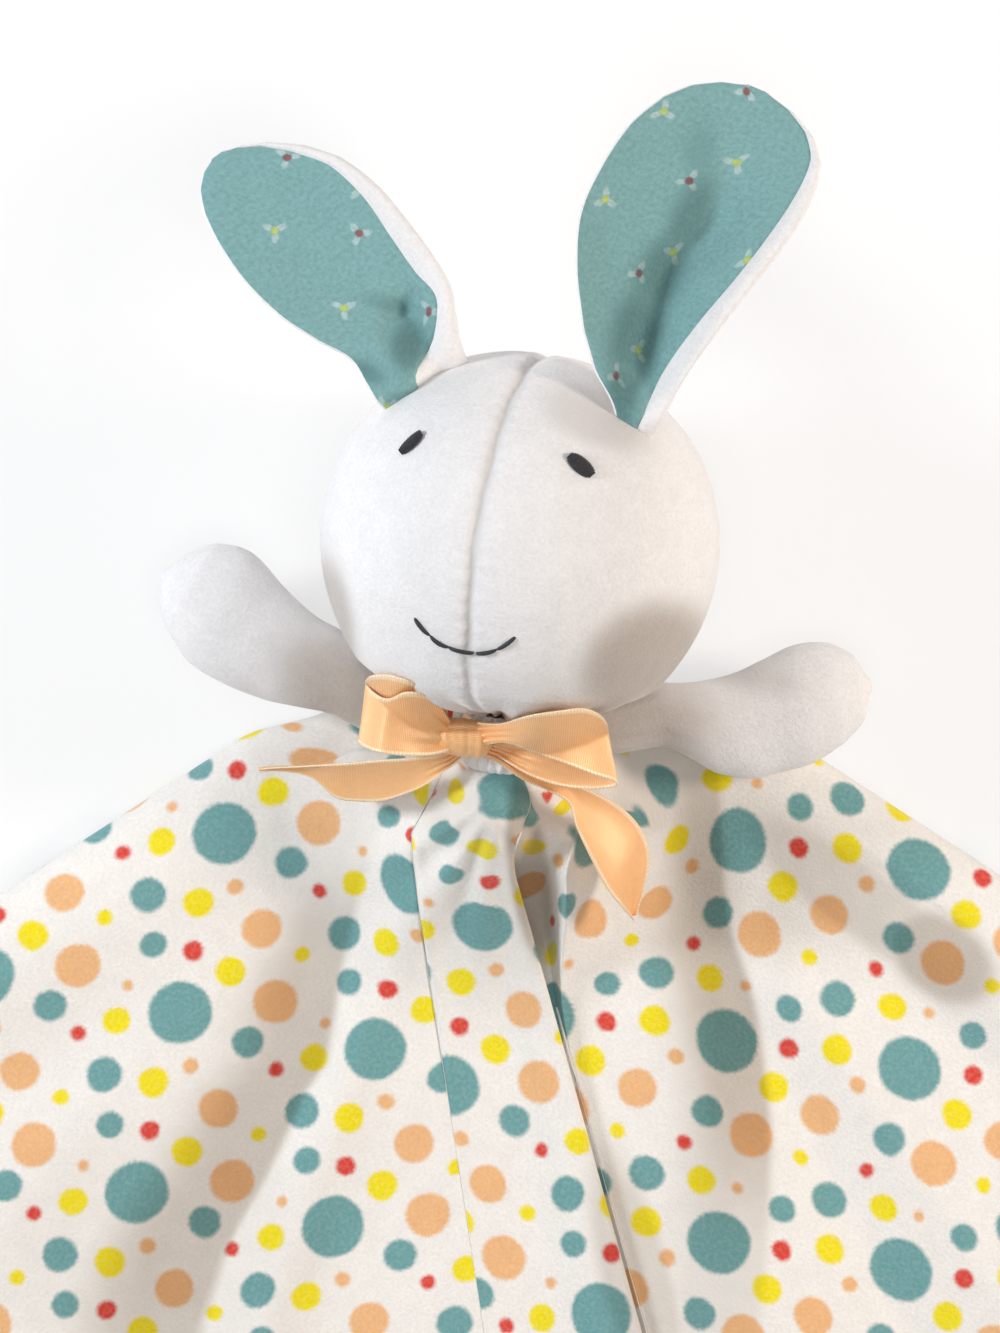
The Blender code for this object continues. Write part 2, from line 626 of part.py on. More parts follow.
def build_ear(side_name, side, ear, shares, head_frame):
    bearing = side * asin(sin(EAR_SPREAD) / cos(EAR_ELEVATION))
    root_height = EAR_ROOT_RADIUS + EAR_SEAT_GAP
    origin = head_frame @ on_head(bearing, EAR_ELEVATION, root_height)
    heading = ear["heading"]
    along = Vector((cos(heading) * cos(EAR_DROOP), sin(heading) * cos(EAR_DROOP), -sin(EAR_DROOP)))
    pivot = new_pivot(side_name + "_ear_pivot", frame_at(origin, along, Vector((0.0, 0.0, 1.0))))
    bpy.context.view_layer.update()
    root = [(-EAR_ROOT_HALF_LENGTH, 0.0, 0.0), (EAR_ROOT_HALF_LENGTH, 0.0, 0.0)]
    tube_object(side_name + "_ear_root", root, EAR_ROOT_RADIUS, WHITE_VELOUR, pivot, resolution=2)
    back = lofted_mesh("ear_back", ear_sections(ear, shares, 0.0, -SEAT_GAP / 2.0), closed=False)
    part = new_object(side_name + "_ear_back", back, WHITE_VELOUR, pivot)
    solidify(part, EAR_LAYER_THICKNESS, EAR_BACK_OFFSET)
    front = lofted_mesh("ear_lining", ear_sections(ear, shares, LINING_INSET, SEAT_GAP / 2.0), closed=False)
    part = new_object(side_name + "_ear_lining", front, TEAL_VELOUR, pivot)
    solidify(part, EAR_LAYER_THICKNESS, -EAR_BACK_OFFSET)


# Arms


def arm_sections(arm, shares, sign):
    """Closed sections from behind the pivot to the paw's tip, relative to the pivot."""
    forward = Vector((cos(arm["heading"]), sin(arm["heading"]), 0.0))
    sideways = Vector((-forward.y, forward.x, 0.0)) * sign
    upward = Vector((0.0, 0.0, 1.0))
    sections = []
    for turn in ROOT_TURNS:
        radius = ARM_ROOT_RADIUS * sin(turn)
        centre = forward * (-ARM_ROOT_RADIUS * cos(turn))
        sections.append(section_ring(centre, sideways * radius, upward * radius))
    for station in range(1, ARM_STATIONS + 1):
        share = 1.0 - (1.0 - station / ARM_STATIONS) ** ARM_CROWDING
        side_share, rise_share, width_share, thickness_share = smooth_row(shares, share)
        centre = forward * share + sideways * side_share + upward * rise_share
        half_width = PAW_HALF_WIDTH * max(width_share, ARM_TIP_share)
        half_thickness = PAW_HALF_THICKNESS * max(thickness_share, ARM_TIP_share)
        section = section_ring(centre * arm["length"], sideways * half_width, upward * half_thickness)
        sections.append(section)
    return sections


def section_ring(centre, sideways, upward):
    ring = []
    for index in range(ARM_SIDES):
        angle = 2.0 * pi * index / ARM_SIDES
        ring.append(centre + sideways * cos(angle) + upward * sin(angle))
    return ring


def build_arm(side_name, arm, shares, sign):
    sections = arm_sections(arm, shares, sign)
    if sign < 0.0:
        sections = [section[::-1] for section in sections]
    cover = lofted_mesh("arm_cover", sections, closed=True, caps=(False, True))
    part = new_object(side_name + "_arm_cover", cover, WHITE_VELOUR)
    part.location = arm["pivot"]
    solidify(part, VELOUR_THICKNESS)
    core = lofted_mesh("arm_stuffing", sections, closed=True, caps=(True, True))
    part = new_object(side_name + "_arm_stuffing", core, FIBREFILL)
    part.location = arm["pivot"]
    inward = part.modifiers.new("inside the cover", "DISPLACE")
    inward.direction = "NORMAL"
    inward.mid_level = 0.0
    inward.strength = -(VELOUR_THICKNESS + ARM_FILL_CLEARANCE)


# Neck and bow


def build_neck(pivot):
    top = -NECK_STARTS - SEAT_GAP
    ring_top = -RIBBON_RING_AT + RIBBON_RING_WIDTH / 2.0 + SEAT_GAP
    ring_bottom = -RIBBON_RING_AT - RIBBON_RING_WIDTH / 2.0 - SEAT_GAP
    wide = NECK_RADIUS + NECK_FLARE
    profile = [
        (0.0, top), (NECK_RADIUS, top), (NECK_RADIUS, ring_top), (NECK_RADIUS, ring_bottom),
        (wide, (ring_bottom - NECK_ENDS) / 2.0), (wide, -NECK_ENDS), (0.0, -NECK_ENDS),
    ]
    turned_object("neck_gather", profile, 2.0 * pi, NECK_STEPS, WHITE_VELOUR, pivot)
    inner = NECK_RADIUS + SEAT_GAP
    outer = inner + RIBBON_THICKNESS
    half = RIBBON_RING_WIDTH / 2.0
    band = [
        (outer, -RIBBON_RING_AT + half), (outer, -RIBBON_RING_AT - half),
        (inner, -RIBBON_RING_AT - half), (inner, -RIBBON_RING_AT + half), (outer, -RIBBON_RING_AT + half),
    ]
    turned_object("neck_ribbon", band, 2.0 * pi, NECK_STEPS, SATIN, pivot)
    return outer


def build_knot(neck_frame, ring_radius):
    """The knot sits on the ribbon round the neck, to the left of the neck's top."""
    reach = ring_radius + SEAT_GAP + KNOT_HALF_DEPTH
    outward = (Matrix.Rotation(-KNOT_LEAN, 3, "Z") @ Vector((0.0, -1.0, 0.0))).normalized()
    local = Vector((0.0, 0.0, -RIBBON_RING_AT)) + outward * reach
    place = neck_frame @ local
    mesh = bpy.data.meshes.new("bow_knot")
    shape = bmesh.new()
    bmesh.ops.create_uvsphere(shape, u_segments=16, v_segments=10, radius=1.0)
    sizes = (KNOT_HALF_LENGTH, KNOT_HALF_HEIGHT, KNOT_HALF_DEPTH)
    bmesh.ops.scale(shape, vec=sizes, verts=shape.verts)
    shape.to_mesh(mesh)
    shape.free()
    mesh.shade_smooth()
    knot = new_object("bow_knot", mesh, SATIN)
    knot.location = place
    return place


def build_ribbon(name, shares, place):
    """A length of ribbon through its stations, relative to the knot."""
    sections = []
    for middle, half in shares:
        centre = Vector(middle) * RIBBON_WIDTH
        reach = Vector(half) * RIBBON_WIDTH
        row = [centre + reach * (1.0 - 2.0 * j / RIBBON_COLUMNS) for j in range(RIBBON_COLUMNS + 1)]
        sections.append(row)
    part = new_object(name, lofted_mesh(name, sections, closed=False), SATIN)
    part.location = place
    solidify(part, RIBBON_THICKNESS, 0.0)


for old in list(bpy.data.objects):
    bpy.data.objects.remove(old, do_unlink=True)

LOVEY = new_collection("comfort_blanket_lovey")
WHITE_VELOUR = new_material("white_velour", (0.90, 0.88, 0.87), 0.95)
PRINTED_VELOUR = new_material("printed_velour", (0.87, 0.84, 0.80), 0.95)
TEAL_VELOUR = new_material("teal_velour", (0.20, 0.38, 0.37), 0.85)
FIBREFILL = new_material("fibrefill", (0.93, 0.93, 0.93), 1.0)
DARK_THREAD = new_material("dark_thread", (0.03, 0.03, 0.04), 0.6)
SEAM_THREAD = new_material("seam_thread", (0.80, 0.79, 0.79), 0.8)
SATIN = new_material("peach_satin", (0.92, 0.50, 0.22), 0.35)

roll = Matrix.Rotation(HEAD_ROLL, 4, "Z")
turn = Matrix.Rotation(HEAD_TURN, 4, "Y")
pitch = Matrix.Rotation(HEAD_PITCH, 4, "X")
upright = Matrix.Rotation(-pi / 2.0, 4, "X")
HEAD_FRAME = Matrix.Translation((HEAD_AT_X, HEAD_AT_Y, HEAD_AT_Z)) @ roll @ turn @ pitch @ upright

build_blanket()
head_pivot = new_pivot("head_pivot", HEAD_FRAME)
neck_pivot = new_pivot("neck_pivot", HEAD_FRAME)
bpy.context.view_layer.update()
build_head(head_pivot)
build_face(head_pivot)
build_ear("left", -1.0, LEFT_EAR, LEFT_EAR_shares, HEAD_FRAME)
build_ear("right", 1.0, RIGHT_EAR, RIGHT_EAR_shares, HEAD_FRAME)
build_arm("left", LEFT_ARM, LEFT_ARM_shares, -1.0)
build_arm("right", RIGHT_ARM, RIGHT_ARM_shares, 1.0)
knot_at = build_knot(HEAD_FRAME, build_neck(neck_pivot))
build_ribbon("bow_left_loop", LEFT_LOOP_shares, knot_at)
build_ribbon("bow_right_loop", RIGHT_LOOP_shares, knot_at)
build_ribbon("bow_left_tail", LEFT_TAIL_shares, knot_at)
build_ribbon("bow_right_tail", RIGHT_TAIL_shares, knot_at)
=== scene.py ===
"""Comfort blanket lovey: a stuffed rabbit's head and two arms sewn to the middle of a soft printed blanket.

It lies on its back on a pale table. "left" and "right" are the viewer's. Sizes are in metres.
"""

from math import cos, hypot, pi, radians, sin, sqrt

import bpy
import numpy as np
from bpy.props import FloatProperty, FloatVectorProperty, PointerProperty
from mathutils import Matrix, Vector


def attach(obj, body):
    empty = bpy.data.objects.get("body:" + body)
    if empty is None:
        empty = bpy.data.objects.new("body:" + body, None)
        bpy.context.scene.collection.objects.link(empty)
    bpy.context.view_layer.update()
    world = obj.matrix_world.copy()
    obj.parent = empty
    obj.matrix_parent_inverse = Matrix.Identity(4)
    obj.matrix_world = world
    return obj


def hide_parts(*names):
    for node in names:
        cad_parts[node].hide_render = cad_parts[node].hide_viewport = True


bl_info = {
    "name": "Comfort Blanket Lovey",
    "version": (1, 0, 0),
    "blender": (4, 5, 0),
    "location": "3D View > Sidebar > Lovey",
    "description": "Builds a printed comfort blanket with a stuffed rabbit's head, arms and ribbon bow",
    "category": "Object",
}

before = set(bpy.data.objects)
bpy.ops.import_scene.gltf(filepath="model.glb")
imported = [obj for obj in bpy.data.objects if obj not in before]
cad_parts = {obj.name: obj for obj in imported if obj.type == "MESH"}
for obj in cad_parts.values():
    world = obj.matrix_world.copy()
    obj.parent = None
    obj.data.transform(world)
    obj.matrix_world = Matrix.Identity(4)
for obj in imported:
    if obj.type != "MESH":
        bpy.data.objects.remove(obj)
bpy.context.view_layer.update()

MM = 0.001

# Head
HEAD_CENTRE = Vector((1.2, 45.6, 56.1)) * MM
HEAD_FRAME = (
    Matrix.Translation(HEAD_CENTRE)
    @ Matrix.Rotation(radians(-8.3), 4, "Z")
    @ Matrix.Rotation(radians(-12.8), 4, "Y")
    @ Matrix.Rotation(radians(12.0), 4, "X")
    @ Matrix.Rotation(-pi / 2.0, 4, "X")
)
NECK_START = 41.5 * MM
NECK_RADIUS = 8.5 * MM

# Blanket: an apex under the head, from which the cloth fans out and is folded under at both sides
APEX_Y = 42.0 * MM
FAN_ANGLE = radians(57.0)
CLOTH_FAN_ANGLE = radians(70.0)
LAYER_HEIGHT = 7.8 * MM
ROLL_HEIGHT = 13.0 * MM
ROLL_WIDTH = 13.5 * MM
NECK_FOOT = (-5.0 * MM, -15.5 * MM)
SOFT_FOLDS = (
    # angle from straight down, height, width, and where along the cloth it starts
    (-18.0, 4.2, 9.0, 58.0),
    (-27.0, -2.6, 11.0, 75.0),
    (-38.0, 1.4, 12.0, 100.0),
    (18.0, 2.2, 11.0, 85.0),
    (27.0, -3.4, 8.0, 70.0),
    (33.5, 2.2, 8.0, 95.0),
    (43.0, -1.6, 8.0, 100.0),
)


# Numbers and grids of points


def eased(low, high, value):
    """How far value is from low to high, 0 to 1, eased at both ends."""
    share = np.clip((value - low) / (high - low), 0.0, 1.0)
    return share * share * (3.0 - 2.0 * share)


def blended(t, start, end, leaving, arriving):
    """A cubic blend from start to end, with the slopes that it leaves and arrives with."""
    return (
        (2 * t**3 - 3 * t**2 + 1) * start + (t**3 - 2 * t**2 + t) * leaving
        + (3 * t**2 - 2 * t**3) * end + (t**3 - t**2) * arriving
    )


def along_table(table, places):
    """Smooth values between a table's rows, whose first column is the place along it."""
    rows = np.array(table, float)
    places = np.atleast_1d(np.asarray(places, float))
    last = len(rows) - 1
    index = np.clip(np.searchsorted(rows[:, 0], places, side="right") - 1, 0, last - 1)
    before, start, end, after = (rows[np.clip(index + step, 0, last)] for step in (-1, 0, 1, 2))
    t = ((places - start[:, 0]) / (end[:, 0] - start[:, 0]))[:, None]
    return blended(t, start, end, (end - before) / 2.0, (after - start) / 2.0)[:, 1:]


def soft_lumps(points, size, seed):
    """A gentle unevenness between -1 and 1, of lumps about as large as size."""
    chance = np.random.default_rng(seed)
    total = np.zeros(points.shape[:-1])
    for _ in range(7):
        direction = chance.normal(size=3)
        direction *= chance.uniform(0.7, 1.5) * 2.0 * pi / (size * 2.0 * np.linalg.norm(direction))
        total += np.sin(points @ direction + chance.uniform(0.0, 2.0 * pi))
    return total / 4.0


def normals_of(points, wrap=False):
    """The unit normal at each point of a grid, by its neighbours along rows and columns."""
    down = np.gradient(points, axis=0)
    if wrap:
        across = (np.roll(points, -1, axis=1) - np.roll(points, 1, axis=1)) / 2.0
    else:
        across = np.gradient(points, axis=1)
    normal = np.cross(across, down)
    length = np.linalg.norm(normal, axis=-1, keepdims=True)
    return normal / np.maximum(length, 1e-12)


def moved(points, matrix):
    """A grid of points carried by a matrix."""
    whole = np.array(matrix, float)
    return points @ whole[:3, :3].T + whole[:3, 3]


def linked_piece(name, mesh, finish):
    """A smooth piece in the scene, made of a mesh and a finish."""
    mesh.shade_smooth()
    mesh.materials.append(finish)
    piece = bpy.data.objects.new(name, mesh)
    bpy.context.scene.collection.objects.link(piece)
    return piece


def grid_piece(name, points, finish, wrap=False, cloth=None, painted_shade=None, flip=False):
    """A smooth piece through a grid of points; wrap joins its last column to the first one.

    cloth holds each point's place on the flat cloth; the last grid given holds how much painted shade each
    point gets.
    """
    rows, columns = points.shape[:2]
    index = np.arange(rows * columns).reshape(rows, columns)
    here = index if wrap else index[:, :-1]
    beside = np.roll(index, -1, axis=1) if wrap else index[:, 1:]
    corners = [here[:-1], beside[:-1], beside[1:], here[1:]]
    if flip:
        corners.reverse()
    faces = np.stack(corners, -1).reshape(-1, 4)
    mesh = bpy.data.meshes.new(name)
    mesh.from_pydata(points.reshape(-1, 3).tolist(), [], faces.tolist())
    if cloth is not None:
        corner_of = np.zeros(len(mesh.loops), np.int32)
        mesh.loops.foreach_get("vertex_index", corner_of)
        layer = mesh.uv_layers.new(name="cloth")
        layer.data.foreach_set("uv", cloth.reshape(-1, 2)[corner_of].astype(np.float32).ravel())
    if painted_shade is not None:
        layer = mesh.attributes.new("painted_shade", "FLOAT", "POINT")
        layer.data.foreach_set("value", painted_shade.astype(np.float32).ravel())
    return linked_piece(name, mesh, finish)


def tube_points(path, radii, sides=8):
    """Rings of points round a path, closing to a point at both ends where its radius is small."""
    path = np.asarray(path, float)
    radii = np.broadcast_to(np.asarray(radii, float), len(path))
    along = np.gradient(path, axis=0)
    along /= np.linalg.norm(along, axis=1, keepdims=True)
    side = np.cross(along, (0.13, 0.21, 0.97))
    side /= np.linalg.norm(side, axis=1, keepdims=True)
    up = np.cross(side, along)
    turn = np.linspace(0.0, 2.0 * pi, sides, endpoint=False)
    ring = side[:, None] * np.cos(turn)[:, None] + up[:, None] * np.sin(turn)[:, None]
    return path[:, None] + ring * radii[:, None, None]


def painted_shade_ovals(points, patches, soft=0.3):
    """How much painted shade each point gets, from soft-edged ovals in millimetres.

    Each oval has its middle, its half width and half length, its lean from straight up, and its strength.
    """
    total = np.zeros(points.shape[:-1])
    for x, y, wide, long, lean, strength in patches:
        across = points[..., 0] / MM - x
        along = points[..., 1] / MM - y
        turn = radians(lean)
        reach = np.hypot(
            (across * cos(turn) - along * sin(turn)) / wide, (across * sin(turn) + along * cos(turn)) / long
        )
        total = np.maximum(total, strength * (1.0 - eased(1.0 - soft, 1.0 + soft, reach)))
    return total


def joined_tubes(name, tubes, finish):
    """One piece made of several tubes of thread."""
    corners, faces = [], []
    start = 0
    for points in tubes:
        rows, columns = points.shape[:2]
        index = start + np.arange(rows * columns).reshape(rows, columns)
        beside = np.roll(index, -1, axis=1)
        faces.extend(np.stack((index[:-1], beside[:-1], beside[1:], index[1:]), -1).reshape(-1, 4).tolist())
        faces.append(index[0, ::-1].tolist())
        faces.append(index[-1].tolist())
        corners.append(points.reshape(-1, 3))
        start += rows * columns
    mesh = bpy.data.meshes.new(name)
    mesh.from_pydata(np.concatenate(corners).tolist(), [], faces)
    return linked_piece(name, mesh, finish)


# Finishes


class Finish:
    """A procedural material, and a short way to add nodes to it."""

    def __init__(self, name):
        self.material = bpy.data.materials.new(name)
        self.material.use_nodes = True
        self.tree = self.material.node_tree
        self.shader = self.tree.nodes["Principled BSDF"]

    def node(self, kind, *values, **settings):
        """Adds a node. Each value, which may be another node's output, fills the next input; None leaves it."""
        made = self.tree.nodes.new("ShaderNode" + kind)
        for key, value in settings.items():
            setattr(made, key, value)
        for socket, value in zip(made.inputs, values):
            self.fill(socket, value)
        return made

    def fill(self, socket, value):
        if isinstance(value, bpy.types.NodeSocket):
            self.tree.links.new(value, socket)
        elif value is not None:
            socket.default_value = value

    def maths(self, operation, *values):
        return self.node("Math", *values, operation=operation).outputs[0]

    def vectors(self, operation, *values):
        made = self.node("VectorMath", *values, operation=operation)
        return made.outputs["Value"] if operation in ("LENGTH", "DISTANCE", "DOT_PRODUCT") else made.outputs[0]

    def cloth(self):
        return self.node("UVMap", uv_map="cloth").outputs[0]

    def noise(self, where, scale, detail=2.0, roughness=0.5, output=0):
        made = self.node("TexNoise")
        self.fill(made.inputs["Vector"], where)
        made.inputs["Scale"].default_value = scale
        made.inputs["Detail"].default_value = detail
        made.inputs["Roughness"].default_value = roughness
        return made.outputs[output]

    def frayed(self, where, cloth, scale, amount):
        """Places on the cloth shifted about by noise that is read at another vector."""
        chance = self.noise(cloth, scale, output="Color")
        return self.vectors("MULTIPLY_ADD", chance, (amount, amount, 0.0), where)

    def between(self, value, low, high, low_to=0.0, high_to=1.0):
        """Maps low to low_to and high to high_to, eased at both ends."""
        made = self.node("MapRange", value, low, high, low_to, high_to, interpolation_type="SMOOTHSTEP")
        return made.outputs[0]

    def mixed(self, share, first, second, blend="MIX"):
        made = self.node("Mix", data_type="RGBA", blend_type=blend)
        self.fill(made.inputs[0], share)
        self.fill(made.inputs[6], first)
        self.fill(made.inputs[7], second)
        return made.outputs[2]

    def put(self, name, value):
        self.fill(self.shader.inputs[name], value)

    def bump(self, height, strength, depth):
        made = self.node("Bump")
        made.inputs["Strength"].default_value = strength
        made.inputs["Distance"].default_value = depth
        self.fill(made.inputs["Height"], height)
        self.put("Normal", made.outputs[0])


def full(colour):
    return (*colour, 1.0)


# tones that painted shade multiplies the velour by: on white velour, and on the teal lining
PAINTED_SHADE_TONE = (0.53, 0.475, 0.42)
LINING_SHADE_TONE = (0.42, 0.50, 0.50)


def add_pile(finish, colour, where, pile, depth=0.00035, shade_tone=PAINTED_SHADE_TONE, darkest=0.90):
    """Gives a finish a short pile: fibres lighter and darker, painted shade read from a mesh attribute, and a
    sheen.
    """
    fibres = finish.noise(where, 1.0 / pile, 3.0, 0.65)
    swirls = finish.noise(where, 0.16 / pile, 2.0)
    shade = finish.between(fibres, 0.25, 0.75, darkest, 1.0)
    swept = finish.between(swirls, 0.3, 0.7, 0.965, 1.0)
    tone = finish.maths("MULTIPLY", shade, swept)
    # painted shade, read from the mesh attribute, with a grainy edge from the fibres
    painted_shade = finish.node("Attribute", attribute_name="painted_shade").outputs["Fac"]
    grainy_shade = finish.maths("MULTIPLY_ADD", finish.maths("SUBTRACT", fibres, 0.5), 1.1, painted_shade)
    back = finish.maths("MULTIPLY", painted_shade, finish.between(grainy_shade, 0.1, 0.75, 0.55, 1.0))
    colour = finish.mixed(back, colour, finish.mixed(1.0, colour, full(shade_tone), "MULTIPLY"))
    finish.put("Base Color", finish.mixed(1.0, colour, tone, "MULTIPLY"))
    finish.put("Roughness", 0.92)
    finish.put("Sheen Weight", 0.35)
    finish.put("Sheen Roughness", 0.45)
    finish.put("Specular IOR Level", 0.15)
    finish.bump(finish.maths("MULTIPLY_ADD", swirls, 0.6, fibres), 0.7, depth)


def white_velour(name="white_velour"):
    """Off-white velour of the head, the arms, the backs of the ears and the lining."""
    looks = bpy.context.scene.lovey_colours
    finish = Finish(name)
    where = finish.node("TexCoord").outputs["Object"]
    add_pile(finish, full(looks.white_velour), where, bpy.context.scene.lovey_sizes.pile)
    return finish.material


# across, down and radius in millimetres, and colour, of the dots in one repeat of the print
DOTS = (
    (0.0, 0.0, 7.8, "teal"), (15.5, 1.8, 2.5, "red"), (27.4, 1.6, 3.8, "yellow"),
    (11.6, 11.3, 3.8, "yellow"), (32.4, 10.3, 2.0, "peach"), (23.0, 18.0, 4.9, "peach"),
    (-5.1, 17.3, 4.0, "teal"), (5.8, 23.2, 5.6, "peach"), (-10.8, 25.0, 1.9, "red"),
    (18.2, 28.7, 2.0, "yellow"), (25.2, 39.0, 4.4, "teal"), (-6.6, 34.2, 3.5, "yellow"),
    (2.4, 36.0, 1.4, "peach"), (13.2, 41.3, 3.4, "teal"),
)
# the print's steps to the next large dot across and down, rightwards and upwards, in millimetres
STEP_ACROSS = (45.2, -6.5)
STEP_DOWN = (-2.4, -49.6)
REPEAT = (hypot(*STEP_ACROSS) * MM, hypot(*STEP_DOWN) * MM)
# each panel's large dot that the print is laid from, and the print's two steps on it
PANELS = {
    "left": ((-81.6, -68.4), (10.7, 44.1), (48.6, -9.3)),
    "flap": ((-7.2, -43.0), (8.9, 43.8), (46.5, -12.0)),
    "right": ((51.8, -75.4), STEP_ACROSS, STEP_DOWN),
}


def in_repeat(off_x, off_y, across, down):
    """An offset in the cloth as the print's own coordinates, which count its slanting steps."""
    area = across[0] * down[1] - across[1] * down[0]
    first = (off_x * down[1] - off_y * down[0]) / area
    second = (off_y * across[0] - off_x * across[1]) / area
    return first * REPEAT[0], -second * REPEAT[1]


def printed_velour():
    """Off-white velour printed with soft-edged dots of four colours."""
    looks = bpy.context.scene.lovey_colours
    finish = Finish("printed_velour")
    cloth = finish.cloth()
    uneven = finish.frayed(finish.frayed(cloth, cloth, 1100.0, 0.0008), cloth, 110.0, 0.0014)
    centred = finish.vectors("SUBTRACT", uneven, (0.0011, 0.0011, 0.0))
    half = (REPEAT[0] / 2.0, REPEAT[1] / 2.0, 1.0)
    low = (-half[0], -half[1], -1.0)
    masks = {}
    for across, below, radius, colour in DOTS:
        place = in_repeat(across, -below, STEP_ACROSS, STEP_DOWN)
        moved_to = finish.vectors("SUBTRACT", centred, (*place, 0.0))
        wrapped = finish.node("VectorMath", moved_to, half, low, operation="WRAP").outputs[0]
        away = finish.vectors("LENGTH", wrapped)
        mask = finish.between(away, (radius - 0.8) * MM, (radius + 0.7) * MM, 1.0, 0.0)
        known = masks.get(colour)
        masks[colour] = mask if known is None else finish.maths("MAXIMUM", known, mask)
    colour = full(looks.printed_ground)
    patchy = finish.between(finish.noise(cloth, 900.0, 3.0), 0.30, 0.62, 0.92, 1.0)
    for name, mask in masks.items():
        ink = full(getattr(looks, "dot_" + name))
        colour = finish.mixed(finish.maths("MULTIPLY", mask, patchy), colour, ink)
    add_pile(finish, colour, cloth, bpy.context.scene.lovey_sizes.pile)
    return finish.material


# across, down and turn of the flowers in one repeat of the lining's print, in millimetres, and their hearts
FLOWERS = ((0.0, 0.0, 0.4, "yellow"), (15.0, 12.5, 1.6, "red"), (22.0, -4.0, 2.6, "yellow"))
FLOWER_REPEAT = (41.0, 25.0)


def teal_velour():
    """Teal velour of the ears' insides, with a scatter of small three-petalled flowers."""
    looks = bpy.context.scene.lovey_colours
    finish = Finish("teal_velour")
    cloth = finish.cloth()
    colour = full(looks.lining_teal)
    half = (FLOWER_REPEAT[0] * MM / 2.0, FLOWER_REPEAT[1] * MM / 2.0, 1.0)
    low = (-half[0], -half[1], -1.0)
    place = finish.frayed(cloth, cloth, 900.0, 0.0009)
    for across, down, turn, heart in FLOWERS:
        moved_to = finish.vectors("SUBTRACT", place, (across * MM, down * MM, 0.0))
        wrapped = finish.node("VectorMath", moved_to, half, low, operation="WRAP").outputs[0]
        parts = finish.node("SeparateXYZ", wrapped)
        away = finish.vectors("LENGTH", wrapped)
        bearing = finish.maths("ARCTAN2", parts.outputs[1], parts.outputs[0])
        petals = finish.maths("COSINE", finish.maths("MULTIPLY_ADD", bearing, 3.0, turn))
        edge = finish.maths("MULTIPLY_ADD", petals, 0.0016, 0.0014)
        inside = finish.between(finish.maths("SUBTRACT", edge, away), -0.0005, 0.0005)
        outside = finish.between(away, 0.0008, 0.0013)
        petal = finish.maths("MULTIPLY", finish.maths("MULTIPLY", inside, outside), 0.55)
        colour = finish.mixed(petal, colour, full(looks.flower_white))
        middle = finish.between(away, 0.0006, 0.0013, 0.75, 0.0)
        colour = finish.mixed(middle, colour, full(getattr(looks, "flower_" + heart)))
    add_pile(finish, colour, cloth, bpy.context.scene.lovey_sizes.pile * 1.3, 0.0005, LINING_SHADE_TONE, 0.76)
    finish.put("Sheen Weight", 0.6)
    finish.put("Roughness", 0.7)
    return finish.material


def satin():
    """Peach satin ribbon: fine crosswise ribs and a denser woven edge."""
    looks = bpy.context.scene.lovey_colours
    finish = Finish("peach_satin")
    cloth = finish.cloth()
    parts = finish.node("SeparateXYZ", cloth)

    def waves(direction, spacing):
        return finish.maths("SINE", finish.maths("MULTIPLY", parts.outputs[direction], 2.0 * pi / spacing))

    ribs = waves(1, 0.00045)
    warp = waves(0, 0.0004)
    half = bpy.context.scene.lovey_sizes.ribbon_width / 2.0
    reach = finish.maths("ABSOLUTE", parts.outputs[0])
    selvedge = finish.between(reach, half - 0.0012, half - 0.0008)
    beads = finish.between(waves(1, 0.0009), -0.6, 0.6)
    worn = finish.noise(cloth, 500.0, 2.0)
    streaks = finish.noise(finish.vectors("MULTIPLY", cloth, (1.0, 0.12, 1.0)), 1400.0, 2.0)
    tone = finish.maths("MULTIPLY_ADD", worn, 0.10, 0.87)
    tone = finish.maths("MULTIPLY_ADD", streaks, 0.10, tone)
    colour = finish.mixed(1.0, full(looks.satin), tone, "MULTIPLY")
    edged = finish.maths("MULTIPLY", selvedge, finish.maths("MULTIPLY_ADD", beads, 0.35, 0.5))
    finish.put("Base Color", finish.mixed(edged, colour, full(looks.satin_edge)))
    finish.put("Roughness", finish.between(ribs, -1.0, 1.0, 0.27, 0.37))
    finish.put("Metallic", 0.12)
    finish.put("Anisotropic", 0.5)
    finish.put("Tangent", finish.node("Tangent", direction_type="UV_MAP", uv_map="cloth").outputs[0])
    finish.put("Specular IOR Level", 0.9)
    finish.put("Sheen Weight", 0.2)
    finish.put("Sheen Roughness", 0.3)
    weave = finish.maths("MULTIPLY_ADD", warp, 0.3, ribs)
    raised = finish.maths("MULTIPLY_ADD", selvedge, finish.maths("MULTIPLY", beads, 3.0), weave)
    finish.bump(raised, 0.4, 0.00008)
    return finish.material


def thread_finish(name, colour, roughness=0.55):
    """Twisted embroidery thread."""
    finish = Finish(name)
    where = finish.node("TexCoord").outputs["Object"]
    fibres = finish.noise(where, 3500.0, 2.0)
    tone = finish.between(fibres, 0.3, 0.7, 0.6, 1.25)
    finish.put("Base Color", finish.mixed(1.0, full(colour), tone, "MULTIPLY"))
    finish.put("Roughness", roughness)
    finish.put("Sheen Weight", 0.15)
    finish.bump(fibres, 0.6, 0.0001)
    return finish.material


# Blanket


def hem_distance(cloth_angle):
    """From the apex to the square's edge, at an angle from straight down, measured on the flat cloth."""
    half = bpy.context.scene.lovey_sizes.blanket_side / 2.0
    angle = np.asarray(cloth_angle, float)
    ahead = np.cos(angle)
    lower = np.where(ahead > 0.0, (half + APEX_Y) / np.maximum(ahead, 1e-6), 1e9)
    upper = np.where(ahead < 0.0, (half - APEX_Y) / np.maximum(-ahead, 1e-6), 1e9)
    side = np.where(np.sin(angle) > 0.0, half / np.maximum(np.sin(angle), 1e-6), 1e9)
    return np.minimum(np.minimum(lower, upper), side)


def front_hem(angle):
    return hem_distance(np.abs(angle) * CLOTH_FAN_ANGLE / FAN_ANGLE)


